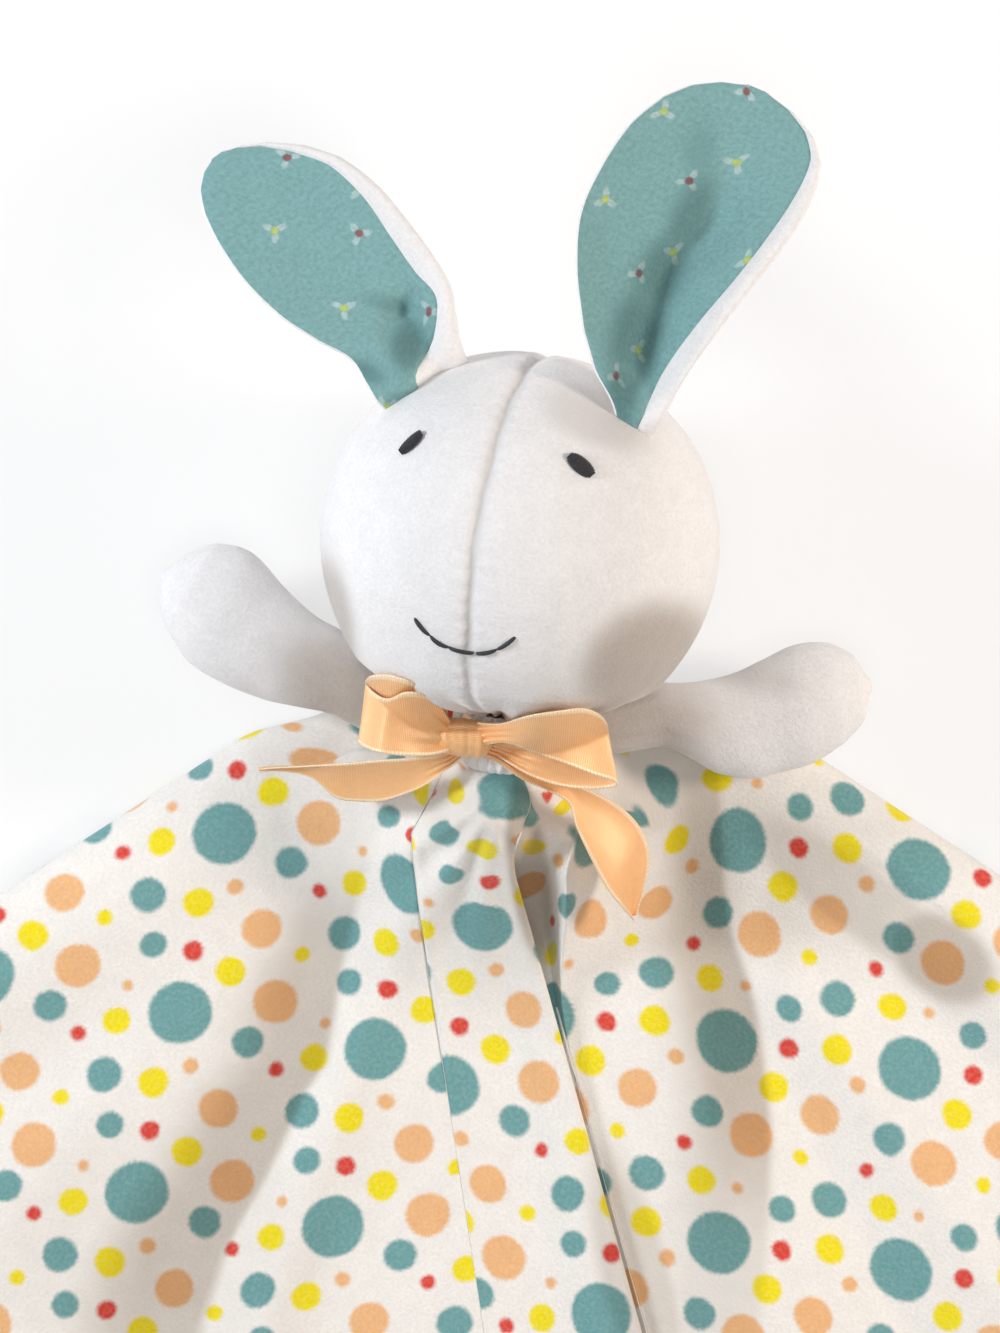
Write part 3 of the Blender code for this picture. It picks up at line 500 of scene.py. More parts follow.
def back_hem(angle):
    """The folded-under half is drawn together, so its angles count from the fold to straight up."""
    return hem_distance(CLOTH_FAN_ANGLE + (pi - CLOTH_FAN_ANGLE) * (1.0 - np.abs(angle) / FAN_ANGLE))


# distances from the apex of the first circle and of the last one
NECK_RING = 12.5 * MM
NEAR = 80.0 * MM


def ring_distance(row, hem):
    """Distances from the apex of one row: circles near the neck, then growing into the square."""
    near = NECK_RING + (NEAR - NECK_RING) * row
    return np.where(row <= 1.0, near, NEAR + (row - 1.0) * (hem - NEAR))


def ring_distances(rows, angles, hem):
    """Distances from the apex of every point of a grid of angles, whose columns end at a hem."""
    return np.stack([ring_distance(rows, hem(column)) for column in angles.T], 1)


def fan_place(distance, angle):
    """Across and down the table, at a distance from the apex and an angle from straight down."""
    return distance * np.sin(angle), APEX_Y - distance * np.cos(angle)


def roll_width(distance):
    return np.minimum(ROLL_WIDTH, np.maximum(distance * 0.25, 3.2 * MM))


def roll_height(distance):
    return LAYER_HEIGHT + (ROLL_HEIGHT - LAYER_HEIGHT) * eased(0.040, 0.095, distance)


def ball_underside(x, y, radius):
    """The height of the head's lower surface above a point of the table."""
    reach = radius**2 - (x - HEAD_CENTRE.x) ** 2 - (y - HEAD_CENTRE.y) ** 2
    return HEAD_CENTRE.z - np.sqrt(np.maximum(reach, 0.0)) + np.where(reach <= 0.0, 1.0, 0.0)


def below_head(x, y, height):
    """Heights kept just under the head's lower surface."""
    return np.minimum(height, ball_underside(x, y, bpy.context.scene.lovey_sizes.head_radius) - 0.0003)


def neck_rise(x, y):
    """The cloth's rise to the neck: steep behind, easy in front and at the sides."""
    across = (x - NECK_FOOT[0]) * 1.25
    along = y - NECK_FOOT[1]
    away = np.hypot(across, np.minimum(along, 0.0)) - 0.0075
    fall = np.maximum(1.0 - (away + np.hypot(away, 0.003)) / 2.0 / 0.0585, 0.0)
    front = (0.0500 - LAYER_HEIGHT) * fall**2
    back = 0.036 + (-0.0062 - y) * 4.7 - LAYER_HEIGHT
    return np.maximum(np.minimum(front, back), 0.0)


def gathers(x, y):
    """Small pinched folds that run down from the neck."""
    across = x - NECK_FOOT[0]
    along = y - NECK_FOOT[1]
    away = np.sqrt(across**2 + along**2)
    bearing = np.arctan2(across, -along)
    near = eased(0.004, 0.014, away) * (1.0 - eased(0.022, 0.055, away)) * eased(0.010, -0.004, y)
    return 0.0014 * near * np.cos(11.0 * bearing + 0.9 * np.sin(2.0 * bearing + 0.6))


def front_height(distance, angle):
    """The height of the blanket's upper surface, away from the tuck and the pleat."""
    x, y = fan_place(distance, angle)
    edge = distance * np.sin(np.maximum(FAN_ANGLE - np.abs(angle), 0.0))
    past_roll = eased(roll_width(distance), 0.045, edge)
    height = roll_height(distance) + (LAYER_HEIGHT - roll_height(distance)) * past_roll
    for degrees, rise, width, start in SOFT_FOLDS:
        away = distance * (angle - radians(degrees)) / (width * MM)
        height = height + rise * MM * eased(start * MM, start * MM + 0.038, distance) / (1.0 + away**2)
    lumps = soft_lumps(np.stack((x, y, 0.0 * x), -1), 0.035, 5)
    height = height + 0.0006 * lumps * eased(0.07, 0.12, distance)
    return below_head(x, y, height + neck_rise(x, y) + gathers(x, y))


def line_angle(start, slant, distance):
    """Where a straight line, from its start down the front, crosses the circles round the apex."""
    run = np.array((sin(slant), -cos(slant)))
    start = np.array((start[0], start[1] - APEX_Y))
    half = start @ run
    inside = half**2 - start @ start + np.maximum(distance, np.linalg.norm(start)) ** 2
    point = start + run * (-half + np.sqrt(inside))[:, None]
    return np.arctan2(point[:, 0], -point[:, 1])


FLAP_RISE = (
    # distance from the apex, then the flap's rise, the gap beside it, its depth and the ridge beyond it
    (10.0, 0.4, 4.0, 0.4, 0.0), (50.0, 0.8, 5.0, 1.0, 0.2), (60.0, 2.6, 9.0, 4.5, 1.2),
    (74.0, 3.6, 12.0, 7.0, 2.4), (88.0, 4.2, 8.5, 7.0, 3.0), (98.0, 4.2, 5.0, 5.0, 2.0),
    (108.0, 4.0, 2.4, 2.0, 0.5), (120.0, 3.8, 1.5, 0.3, 0.0), (240.0, 3.8, 2.0, 0.3, 0.0),
)
FLAP_FOLD = 1.4 * MM


def pleat_stations(middle, base):
    """Stations across the pleat: how far each lies from the flap's edge, flat and folded, and its height."""
    rise, gap, depth, ridge = (along_table(FLAP_RISE, middle / MM) * MM).T
    r = FLAP_FOLD
    corner = r * (1.0 - cos(radians(45.0)))
    flap = 0.14 * middle
    overlap = 0.065 * middle
    top = base + rise
    low = top - 2.0 * r
    own = np.full_like(middle, np.nan)
    folded = (
        (-flap, own), (-0.55 * flap, base + 0.66 * rise), (-0.22 * flap, base + 0.93 * rise), (-r, top),
        (-corner, top - corner), (0.0, top - r), (-corner, low + corner), (-r, low),
        (-overlap, low - 0.0002), (-overlap - 0.0005, low - 0.0006), (-overlap, low - 0.0010),
        (0.1 * gap, base - 0.85 * depth), (0.5 * gap, base - depth), (0.9 * gap, base + 0.35 * ridge),
        (1.3 * gap, base + ridge), (3.0 * gap, own),
    )
    last = len(folded) - 1
    start, end = -flap, 3.0 * gap
    flat = np.stack([start + (end - start) * index / last for index in range(last + 1)], 1)
    shifts = np.stack([shift + 0.0 * middle for shift, _ in folded], 1)
    heights = np.stack([height for _, height in folded], 1)
    return flat, shifts, heights


def between_columns(values, count):
    """Smooth values at count places between a grid's columns."""
    last = values.shape[1] - 1
    places = np.linspace(0.0, last, count)
    index = np.minimum(places.astype(int), last - 1)
    t = places - index
    before = values[:, np.maximum(index - 1, 0)]
    start = values[:, index]
    end = values[:, index + 1]
    after = values[:, np.minimum(index + 2, last)]
    return blended(t, start, end, (end - before) / 2.0, (after - start) / 2.0)


PLEAT_START = (-3.6 * MM, -20.9 * MM)
PLEAT_SLANT = radians(15.6)
TUCK_START = (-25.8 * MM, -24.0 * MM)
TUCK_SLANT = radians(8.5)
ROLL_STEPS = 11
LEFT_STEPS = 110
TUCK_STEPS = 44
PLEAT_STEPS = 90
RIGHT_STEPS = 122
BACK_STEPS = 72
TUCK_COLUMN = ROLL_STEPS + LEFT_STEPS
PLEAT_COLUMN = TUCK_COLUMN + TUCK_STEPS
RIGHT_COLUMN = PLEAT_COLUMN + PLEAT_STEPS


def blanket_surface():
    """The blanket's printed surface as rows round a closed tube, and the cloth's own coordinates."""
    rows = np.concatenate((np.linspace(0.0, 1.0, 64), np.linspace(1.0, 2.0, 92)[1:]))
    middle = ring_distance(rows, front_hem(0.0))
    fold = ring_distance(rows, front_hem(FAN_ANGLE))
    width = roll_width(fold)
    half = roll_height(fold) / 2.0
    turns = np.linspace(0.0, pi / 2.0, ROLL_STEPS)
    inset = np.minimum(width[:, None] * (1.0 - np.cos(turns)) / fold[:, None], sin(FAN_ANGLE))
    rolled = FAN_ANGLE - np.arcsin(inset)
    roll_rise = half[:, None] + half[:, None] * np.sin(turns)

    edge = line_angle(PLEAT_START, PLEAT_SLANT, middle)[:, None]
    tuck = line_angle(TUCK_START, TUCK_SLANT, middle)[:, None]
    base = front_height(middle[:, None], edge)[:, 0]
    flat, shifts, heights = pleat_stations(middle, base)
    folding = eased(0.054, 0.078, middle)[:, None]
    stations = edge + (flat + (shifts - flat) * folding) / middle[:, None]
    own = front_height(ring_distances(rows, stations, front_hem), stations)
    lifted = np.where(np.isnan(heights), own, own + (heights - own) * folding)
    pleat = between_columns(stations, PLEAT_STEPS)
    pleat_rise = between_columns(lifted, PLEAT_STEPS)

    near_tuck = 1.0 - (1.0 - np.linspace(0.0, 1.0, LEFT_STEPS + 2)[1:-1]) ** 1.6
    seam = 0.0001 / middle[:, None]
    left = -rolled[:, -1:] + (tuck + rolled[:, -1:]) * near_tuck
    left[:, -1:] = tuck - seam
    beside = tuck + seam + (pleat[:, :1] - tuck - seam) * np.linspace(0.0, 1.0, TUCK_STEPS + 1)[:-1]
    right = pleat[:, -1:] + (rolled[:, -1:] - pleat[:, -1:]) * np.linspace(0.0, 1.0, RIGHT_STEPS)[1:-1]
    angles = np.concatenate((-rolled, left, beside, pleat, right, rolled[:, ::-1]), 1)
    far = ring_distances(rows, angles, front_hem)
    far[:, :ROLL_STEPS] = fold[:, None]
    far[:, -ROLL_STEPS:] = fold[:, None]
    x, y = fan_place(far, angles)
    z = front_height(far, angles)
    z[:, :ROLL_STEPS] = roll_rise
    z[:, -ROLL_STEPS:] = roll_rise[:, ::-1]
    bare = np.linspace(0.0, 1.0, PLEAT_STEPS)
    keep = eased(0.0, 0.10, bare) * (1.0 - eased(0.90, 1.0, bare)) * folding
    pleated = slice(PLEAT_COLUMN, RIGHT_COLUMN)
    z[:, pleated] = z[:, pleated] * (1.0 - keep) + pleat_rise * keep
    from_tuck = far * (angles - tuck)
    present = eased(0.060, 0.074, middle)[:, None] * (1.0 - eased(0.118, 0.142, middle))[:, None]
    groove = np.exp(-((from_tuck / 0.0005) ** 2)) * 0.0006
    lip = np.exp(-(((from_tuck - 0.0016) / 0.0016) ** 2)) * 0.0006
    z[:, ROLL_STEPS:PLEAT_COLUMN] += ((lip - groove) * present)[:, ROLL_STEPS:PLEAT_COLUMN]
    front = np.stack((x, y, below_head(x, y, z)), -1)

    inner = rolled[:, -1:]
    under = inner * (1.0 - 2.0 * np.linspace(0.0, 1.0, BACK_STEPS)[1:-1])
    flat_back = np.stack((*fan_place(ring_distances(rows, under, back_hem), under), 0.0 * under), -1)
    low_rise = half[:, None] - half[:, None] * np.sin(turns)
    roll_low = np.stack((*fan_place(fold[:, None], rolled), low_rise), -1)
    mirrored = roll_low * np.array((-1.0, 1.0, 1.0))
    back = np.concatenate((roll_low[:, 1:], flat_back, mirrored[:, :0:-1]), 1)
    surface = np.concatenate((front, back), 1)
    cloth = cloth_coordinates(surface, rows)
    return drawn_in(surface), cloth


def round_apex(surface):
    """Each point's distance from the apex, and its angle from straight down."""
    plan = surface[:, :, :2] - np.array((0.0, APEX_Y))
    return np.linalg.norm(plan, axis=2), np.arctan2(plan[:, :, 0], -plan[:, :, 1])


def drawn_in(surface):
    """Narrows the fan close to the neck, where the arms are sewn over it."""
    reach, angle = round_apex(surface)
    angle = angle * (1.0 - 0.12 * (1.0 - eased(0.052, 0.080, reach)))
    return np.stack((*fan_place(reach, angle), surface[:, :, 2]), -1)


def cloth_coordinates(surface, rows):
    """Each point's place in the print, by lengths measured over the folds from each panel's dot."""
    reach, angle = round_apex(surface)
    steps = np.linalg.norm(np.diff(surface, axis=1), axis=2)
    sideways = np.sqrt(np.maximum(steps**2 - np.diff(reach, axis=1) ** 2, 0.0))
    turned = np.cumsum(sideways / ((reach[:, 1:] + reach[:, :-1]) / 2.0), axis=1)
    bearing = np.concatenate((np.zeros((len(rows), 1)), turned), 1)
    down = np.cumsum(np.linalg.norm(np.diff(surface, axis=0), axis=2), axis=0)
    down = np.concatenate((np.zeros((1, surface.shape[1])), down), 0)
    known = np.searchsorted(rows, 1.25)
    length = reach[known] + down - down[known]
    cloth = np.zeros(surface.shape[:2] + (2,))
    fold_column = PLEAT_COLUMN + PLEAT_STEPS // 2
    front_end = RIGHT_COLUMN + RIGHT_STEPS
    panels = {
        "left": slice(0, TUCK_COLUMN),
        "flap": slice(TUCK_COLUMN, fold_column),
        "right": slice(fold_column, None),
    }
    for name, columns in panels.items():
        (dot_x, dot_y), across, below = PANELS[name]
        dot_angle = np.arctan2(dot_x, APEX_Y / MM - dot_y)
        anchor = np.argmin(np.abs(angle[known, :front_end] - dot_angle))
        turn = bearing - bearing[:, anchor:anchor + 1] + angle[:, anchor:anchor + 1]
        off_x = length * np.sin(turn) / MM - dot_x
        off_y = (APEX_Y - length * np.cos(turn)) / MM - dot_y
        laid = np.stack(in_repeat(off_x, off_y, across, below), -1)
        cloth[:, columns] = laid[:, columns]
    return cloth


def curled_hem(surface, normals, turn=6, radius=0.0010):
    """Rows that carry the last row of a surface round into its inside."""
    last = surface[-1]
    outward = surface[-1] - surface[-2]
    outward /= np.maximum(np.linalg.norm(outward, axis=1, keepdims=True), 1e-9)
    rows = []
    for step in range(1, turn + 1):
        angle = pi * step / turn
        rows.append(last + outward * radius * sin(angle) - normals[-1] * radius * (1.0 - cos(angle)))
    return np.stack(rows)


# ovals of painted shade on the blanket: beside its folds, in the gap by the flap and round the arms
BLANKET_PAINTED_SHADE = (
    (84.0, -41.0, 34.0, 9.0, 37.0, 0.6), (104.0, -55.0, 15.0, 10.0, 37.0, 0.85),
    (30.0, -134.0, 9.0, 34.0, -15.0, 0.6), (-88.0, -128.0, 40.0, 34.0, 0.0, 0.25),
    (3.5, -34.0, 5.0, 22.0, -8.0, 1.0), (-12.0, -20.0, 10.0, 8.0, 0.0, 0.4),
    (35.0, -14.0, 12.0, 12.0, 0.0, 0.5), (-26.0, -5.0, 12.0, 6.0, 0.0, 0.5),
)
# lines with painted shade on their left: place down the table, then across, strength and reach
BLANKET_SHADE_LINES = (
    (
        (-200.0, -84.0, 0.5, 45.0), (-144.0, -75.6, 0.85, 48.0), (-125.5, -69.4, 0.9, 48.0),
        (-108.7, -60.2, 0.9, 44.0), (-88.0, -51.0, 0.9, 40.0), (-80.0, -45.5, 0.9, 36.0),
        (-54.5, -41.0, 0.8, 32.0), (-26.0, -34.0, 0.3, 22.0), (-10.0, -31.0, 0.0, 16.0),
        (160.0, -31.0, 0.0, 16.0),
    ),
    (
        (-200.0, 58.0, 0.2, 50.0), (-144.0, 60.0, 0.4, 44.0), (-124.0, 62.0, 0.5, 38.0),
        (-99.8, 62.9, 0.8, 33.0), (-84.5, 61.7, 0.9, 31.0), (-67.0, 59.0, 0.95, 31.0),
        (-45.4, 52.6, 0.9, 26.0), (-24.0, 51.0, 0.85, 22.0), (-6.0, 50.0, 0.5, 20.0),
        (10.0, 50.0, 0.0, 20.0), (160.0, 50.0, 0.0, 20.0),
    ),
)


def painted_shade_beside(points, line):
    """How much painted shade lies on the left of a line down the table, crisp at the line itself."""
    down = np.clip(points[..., 1].ravel() / MM, line[0][0], line[-1][0])
    place, strength, reach = along_table(line, down).T
    away = place - points[..., 0].ravel() / MM
    shade = strength * eased(-2.0, 2.0, away) * (1.0 - eased(0.3 * reach, reach, away))
    return shade.reshape(points.shape[:-1])


class LOVEY_OT_blanket(bpy.types.Operator):
    """Build the printed blanket, folded under at both sides, and its white lining"""

    bl_idname = "lovey.blanket"
    bl_label = "Blanket"

    def execute(self, context):
        surface, cloth = blanket_surface()
        normals = normals_of(surface, wrap=True)
        if normals[100, 60, 2] < 0.0:
            normals = -normals
        hem = curled_hem(surface, normals)
        whole = np.concatenate((surface, hem), 0)
        cloth = np.concatenate((cloth, np.repeat(cloth[-1:], len(hem), 0)), 0)
        # painted shade beside the folds and by the flap
        painted_shade = painted_shade_ovals(whole, BLANKET_PAINTED_SHADE)
        for line in BLANKET_SHADE_LINES:
            painted_shade = np.maximum(painted_shade, painted_shade_beside(whole, line))
        painted_shade *= 0.9
        painted_shade[:, RIGHT_COLUMN + RIGHT_STEPS:] = 0.0
        face = grid_piece("blanket_cloth", whole, printed_velour(), wrap=True, cloth=cloth, painted_shade=painted_shade, flip=True)
        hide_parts("blanket_face")
        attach(face, "blanket")
        depth = np.full(surface.shape[:2], 0.0018)
        opened = eased(72, 92, np.arange(len(surface)))[:, None]
        depth[:, TUCK_COLUMN - 4:RIGHT_COLUMN] = 0.0002 + 0.0006 * opened
        inside = surface - normals * depth[:, :, None]
        lining = grid_piece("blanket_lining_cloth", inside, white_velour("lining_velour"), wrap=True)
        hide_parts("blanket_lining")
        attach(lining, "blanket")
        return {"FINISHED"}


# Head


def head_profile(turns):
    """Radius and height of the head about its own axis, from its top, over the cheeks, to the neck."""
    radius = bpy.context.scene.lovey_sizes.head_radius
    chin = radians(130.0)
    ball = np.minimum(turns, chin)
    r = radius * np.sin(ball)
    z = radius * np.cos(ball)
    z = np.where(z > 0.0, z * (1.0 - 0.045 * eased(0.35, 1.0, z / radius)), z)
    t = np.clip((turns - chin) / (pi - chin), 0.0, 1.0)
    chin_r = blended(t, radius * sin(chin), NECK_RADIUS, -0.030, -0.010)
    chin_z = blended(t, radius * cos(chin), -NECK_START, -0.0250, -0.0100)
    return np.where(turns > chin, chin_r, r), np.where(turns > chin, chin_z, z)


def dent(points, place, width, depth):
    """How deep a soft dent round a place is, at each point."""
    away = np.linalg.norm(points - np.array(place), axis=-1)
    return depth * np.exp(-((away / width) ** 2))


def head_surface():
    """The stuffed head with its seam groove, its gathers at the chin and dimples at its stitches."""
    sizes = bpy.context.scene.lovey_sizes
    share = np.arange(320) / 320.0
    bearing = 2.0 * pi * share - 0.32 * np.sin(4.0 * pi * share)
    turns = np.linspace(0.004, pi, 220)
    r, z = head_profile(turns)
    x = r[:, None] * np.sin(bearing)
    y = -r[:, None] * np.cos(bearing)
    points = np.stack((x, y, np.broadcast_to(z[:, None], x.shape)), -1)
    normals = normals_of(points, wrap=True)
    if (normals[60, 0] @ points[60, 0]) < 0.0:
        normals = -normals
    along = turns[:, None] * sizes.head_radius
    beside = np.abs(points[:, :, 0] - 0.0003 * np.sin(along / 0.0060) - 0.0002 * np.sin(along / 0.0023))
    lift = -sizes.seam_depth * np.exp(-((beside / 0.0014) ** 2))
    lift -= 0.0004 * np.exp(-((beside / 0.0050) ** 2))
    lift += 0.00012 * np.exp(-(((beside - 0.0022) / 0.0016) ** 2)) * np.sin(along * 2.0 * pi / 0.0042)
    lift += 0.00040 * soft_lumps(points, 0.026, 3)
    low = eased(radians(118.0), radians(160.0), turns)[:, None]
    lift += low * 0.0009 * np.cos(15.0 * bearing + 1.2 * np.sin(2.0 * bearing))[None, :]
    for place, width, depth in HEAD_DENTS:
        lift -= dent(points, in_head(place[0] * MM, place[1] * MM), width * MM, depth * MM)
    return points + normals * lift[:, :, None]


def on_ball(x, y, height=0.0):
    """The point of the head's upper side above a place on the table, raised by height."""
    radius = bpy.context.scene.lovey_sizes.head_radius
    flat = Vector((x - HEAD_CENTRE.x, y - HEAD_CENTRE.y, 0.0))
    flat.z = sqrt(max(radius**2 - flat.length_squared, 0.0))
    return HEAD_CENTRE + flat * (1.0 + height / radius)


def in_head(x, y):
    return tuple(HEAD_FRAME.inverted() @ on_ball(x, y))


LEFT_EYE = ((-27.1, 66.6), (-22.1, 71.3))
RIGHT_EYE = ((18.2, 61.0), (12.8, 65.8))
HEAD_DENTS = (((-24.7, 69.1), 4.5, 0.4), ((15.4, 63.6), 4.5, 0.5), ((-10.0, 20.0), 6.0, 0.3))
# painted shade on the head: the shadows of the arms and of the right ear, darker under the chin, and a faint
# broad patch
HEAD_PAINTED_SHADE = (
    (32.0, 16.0, 18.0, 14.5, -35.0, 0.95), (-44.0, 25.0, 6.0, 18.0, -6.0, 0.8),
    (21.0, 75.0, 15.0, 8.0, 18.0, 0.45), (-4.0, 6.5, 30.0, 8.0, 0.0, 0.2),
    (18.0, 40.0, 26.0, 34.0, 0.0, 0.12),
)


class LOVEY_OT_head(bpy.types.Operator):
    """Build the stuffed head, with its centre seam"""

    bl_idname = "lovey.head"
    bl_label = "Head"

    def execute(self, context):
        shape = head_surface()
        points = moved(shape, HEAD_FRAME)
        # painted shade from the ovals, kept to the head's upper half
        painted_shade = painted_shade_ovals(points, HEAD_PAINTED_SHADE, 0.42) * eased(-0.012, 0.004, points[:, :, 2] - HEAD_CENTRE.z)
        # painted shade along the seam groove
        seam = np.exp(-((shape[:, :, 0] / 0.0017) ** 2)) * (shape[:, :, 1] < 0.0)
        painted_shade = np.maximum(painted_shade, 0.5 * seam)
        head = grid_piece("head_cover", points, white_velour(), wrap=True, painted_shade=painted_shade, flip=True)
        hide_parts("head_left_panel", "head_right_panel", "head_stuffing", "centre_seam_thread")
        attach(head, "head")
        return {"FINISHED"}


# Face


def satin_stitch(start, end, width, thread):
    """Threads laid side by side over an oval between two places on the head."""
    start = np.array(start) * MM
    end = np.array(end) * MM
    along = end - start
    length = np.linalg.norm(along)
    along /= length
    across = np.array((-along[1], along[0]))
    count = int(length / (thread * 1.35))
    tubes = []
    for index in range(count + 1):
        share = (index + 0.5) / (count + 1)
        half = width / 2.0 * sqrt(max(1.0 - (2.0 * share - 1.0) ** 2, 0.0)) ** 0.8
        middle = start + along * length * share
        path = []
        for t in np.linspace(-1.0, 1.0, 9):
            place = middle + across * half * t + along * 0.35 * thread * t
            path.append(on_ball(place[0], place[1], 0.0009 * (1.0 - abs(t) ** 3.0) - 0.0002))
        tubes.append(tube_points(path, thread * 0.72, 7))
    return tubes


def back_stitch(places, thread, gap):
    """Stitches end to end along places on the head, each dipping into the cloth at its ends."""
    places = np.array(places) * MM
    table = np.column_stack((np.linspace(0.0, 1.0, len(places)), places))
    tubes = []
    count = len(places) - 1
    for index in range(count):
        shares = np.linspace((index + gap) / count, (index + 1.0 - gap) / count, 12)
        line = along_table(table, shares)
        swell = np.sin(np.linspace(0.0, pi, 12)) ** 0.5
        path = [on_ball(p[0], p[1], 0.0006 * s - 0.00035) for p, s in zip(line, swell)]
        tubes.append(tube_points(path, thread * (0.55 + 0.45 * swell), 8))
    return tubes


class LOVEY_OT_face(bpy.types.Operator):
    """Embroider the two eyes and the mouth"""

    bl_idname = "lovey.face"
    bl_label = "Face"

    def execute(self, context):
        sizes = context.scene.lovey_sizes
        dark = thread_finish("dark_thread", context.scene.lovey_colours.thread)
        for name, (start, end), width in (("left_eye", LEFT_EYE, 0.0023), ("right_eye", RIGHT_EYE, 0.0036)):
            eye = joined_tubes(name + "_stitches", satin_stitch(start, end, width, 0.0004), dark)
            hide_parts(name)
            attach(eye, "head")
        left = ((-23.8, 27.4), (-20.2, 23.2), (-15.8, 20.4), (-9.8, 19.1))
        right = ((-9.2, 19.0), (-4.4, 19.9), (0.1, 23.0))
        for name, places in (("mouth_left", left), ("mouth_right", right)):
            stitch = joined_tubes(name + "_stitches", back_stitch(places, sizes.thread_radius, 0.02), dark)
            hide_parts(name + "_stitch")
            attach(stitch, "head")
        return {"FINISHED"}


# Ears: along in millimetres; then the left edge, the lining's right edge and the right edge


EARS = {
    "left": {
        "pivot": (-23.031, 85.719, 74.892), "heading": 126.0, "cup": 3.5,
        "rows": (
            (-4.0, -10.6, -2.0, 11.4), (0.0, -11.6, -0.6, 12.5), (5.0, -11.2, 8.2, 15.0),
            (12.0, -10.8, 14.0, 18.4), (20.0, -14.5, 13.6, 19.4), (30.0, -18.2, 13.8, 19.4),
            (42.0, -20.2, 14.1, 18.6), (53.0, -20.0, 12.0, 15.4), (61.0, -18.6, 6.8, 9.8),
            (66.5, -16.2, 1.6, 3.6), (69.5, -13.0, -3.2, -2.0), (71.0, -9.6, -6.8, -6.2),
        ),
    },
    "right": {
        "pivot": (24.956, 78.719, 85.909), "heading": 67.1, "cup": 7.5,
        "rows": (
            (-5.5, 1.5, 6.2, 10.0), (-1.5, -1.0, 6.2, 10.8), (4.0, -8.0, 6.2, 11.2),
            (12.0, -14.6, 6.8, 12.2), (24.0, -21.4, 9.6, 14.8), (37.0, -25.8, 13.6, 18.2),
            (50.0, -25.6, 17.0, 21.6), (62.0, -23.2, 19.2, 23.2), (71.0, -18.6, 19.2, 21.9),
            (76.5, -13.4, 15.6, 17.6), (80.0, -7.4, 9.8, 11.2), (82.0, -1.4, 3.2, 3.8),
        ),
    },
}


# painted shade in the folds at the left ear's base and along the right ear's valley
EAR_PAINTED_SHADE = {
    "left": (
        (-25.4, 92.6, 4.5, 6.5, 10.0, 0.85), (-36.0, 86.0, 5.5, 2.8, 20.0, 0.7),
        (-29.0, 102.0, 8.0, 2.2, 12.0, 0.5),
    ),
    "right": (
        (25.0, 80.0, 4.5, 9.0, 6.0, 0.85), (28.5, 95.0, 6.5, 12.0, 14.0, 0.85),
        (34.5, 109.0, 6.0, 11.0, 27.0, 0.8), (41.5, 123.0, 5.0, 12.0, 22.0, 0.7),
        (44.0, 138.0, 4.5, 8.0, 6.0, 0.4),
    ),
}


def ear_frame(ear):
    heading = radians(ear["heading"])
    droop = radians(7.0)
    along = Vector((cos(heading) * cos(droop), sin(heading) * cos(droop), -sin(droop)))
    side = along.cross(Vector((0.0, 0.0, 1.0))).normalized()
    normal = side.cross(along)
    matrix = Matrix((side, along, normal)).transposed().to_4x4()
    matrix.translation = Vector(ear["pivot"]) * MM
    return matrix


# the right ear's valley: place along the ear, then across it, in millimetres
EAR_VALLEY = ((0.0, 2.0), (18.0, 0.5), (34.0, -2.0), (48.0, 2.5), (60.0, 3.5), (82.0, 3.0))


def ear_bend(name, across, along):
    """How the ear's front surface rises and dips, in millimetres."""
    if name == "left":
        fold = -2.6 * np.exp(-(((across - 4.5 - along * 0.15) / 3.0) ** 2)) * (1.0 - eased(12.0, 26.0, along))
        fold += 1.6 * np.exp(-(((across + 3.5) / 3.2) ** 2)) * (1.0 - eased(8.0, 22.0, along))
        lip = -1.8 * np.exp(-(((along - 13.0 - across * 0.25) / 2.4) ** 2)) * eased(-6.0, 4.0, across)
        return fold + lip * (1.0 - eased(9.0, 13.0, across))
    valley = along_table(EAR_VALLEY, along.ravel()).reshape(along.shape)
    wide = 5.6
    depth = -5.2 * eased(-4.0, 14.0, along) * (1.0 - eased(46.0, 66.0, along))
    steep = np.where(across < valley, wide * 0.75, wide * 1.35)
    return depth * np.exp(-(((across - valley) / steep) ** 2))


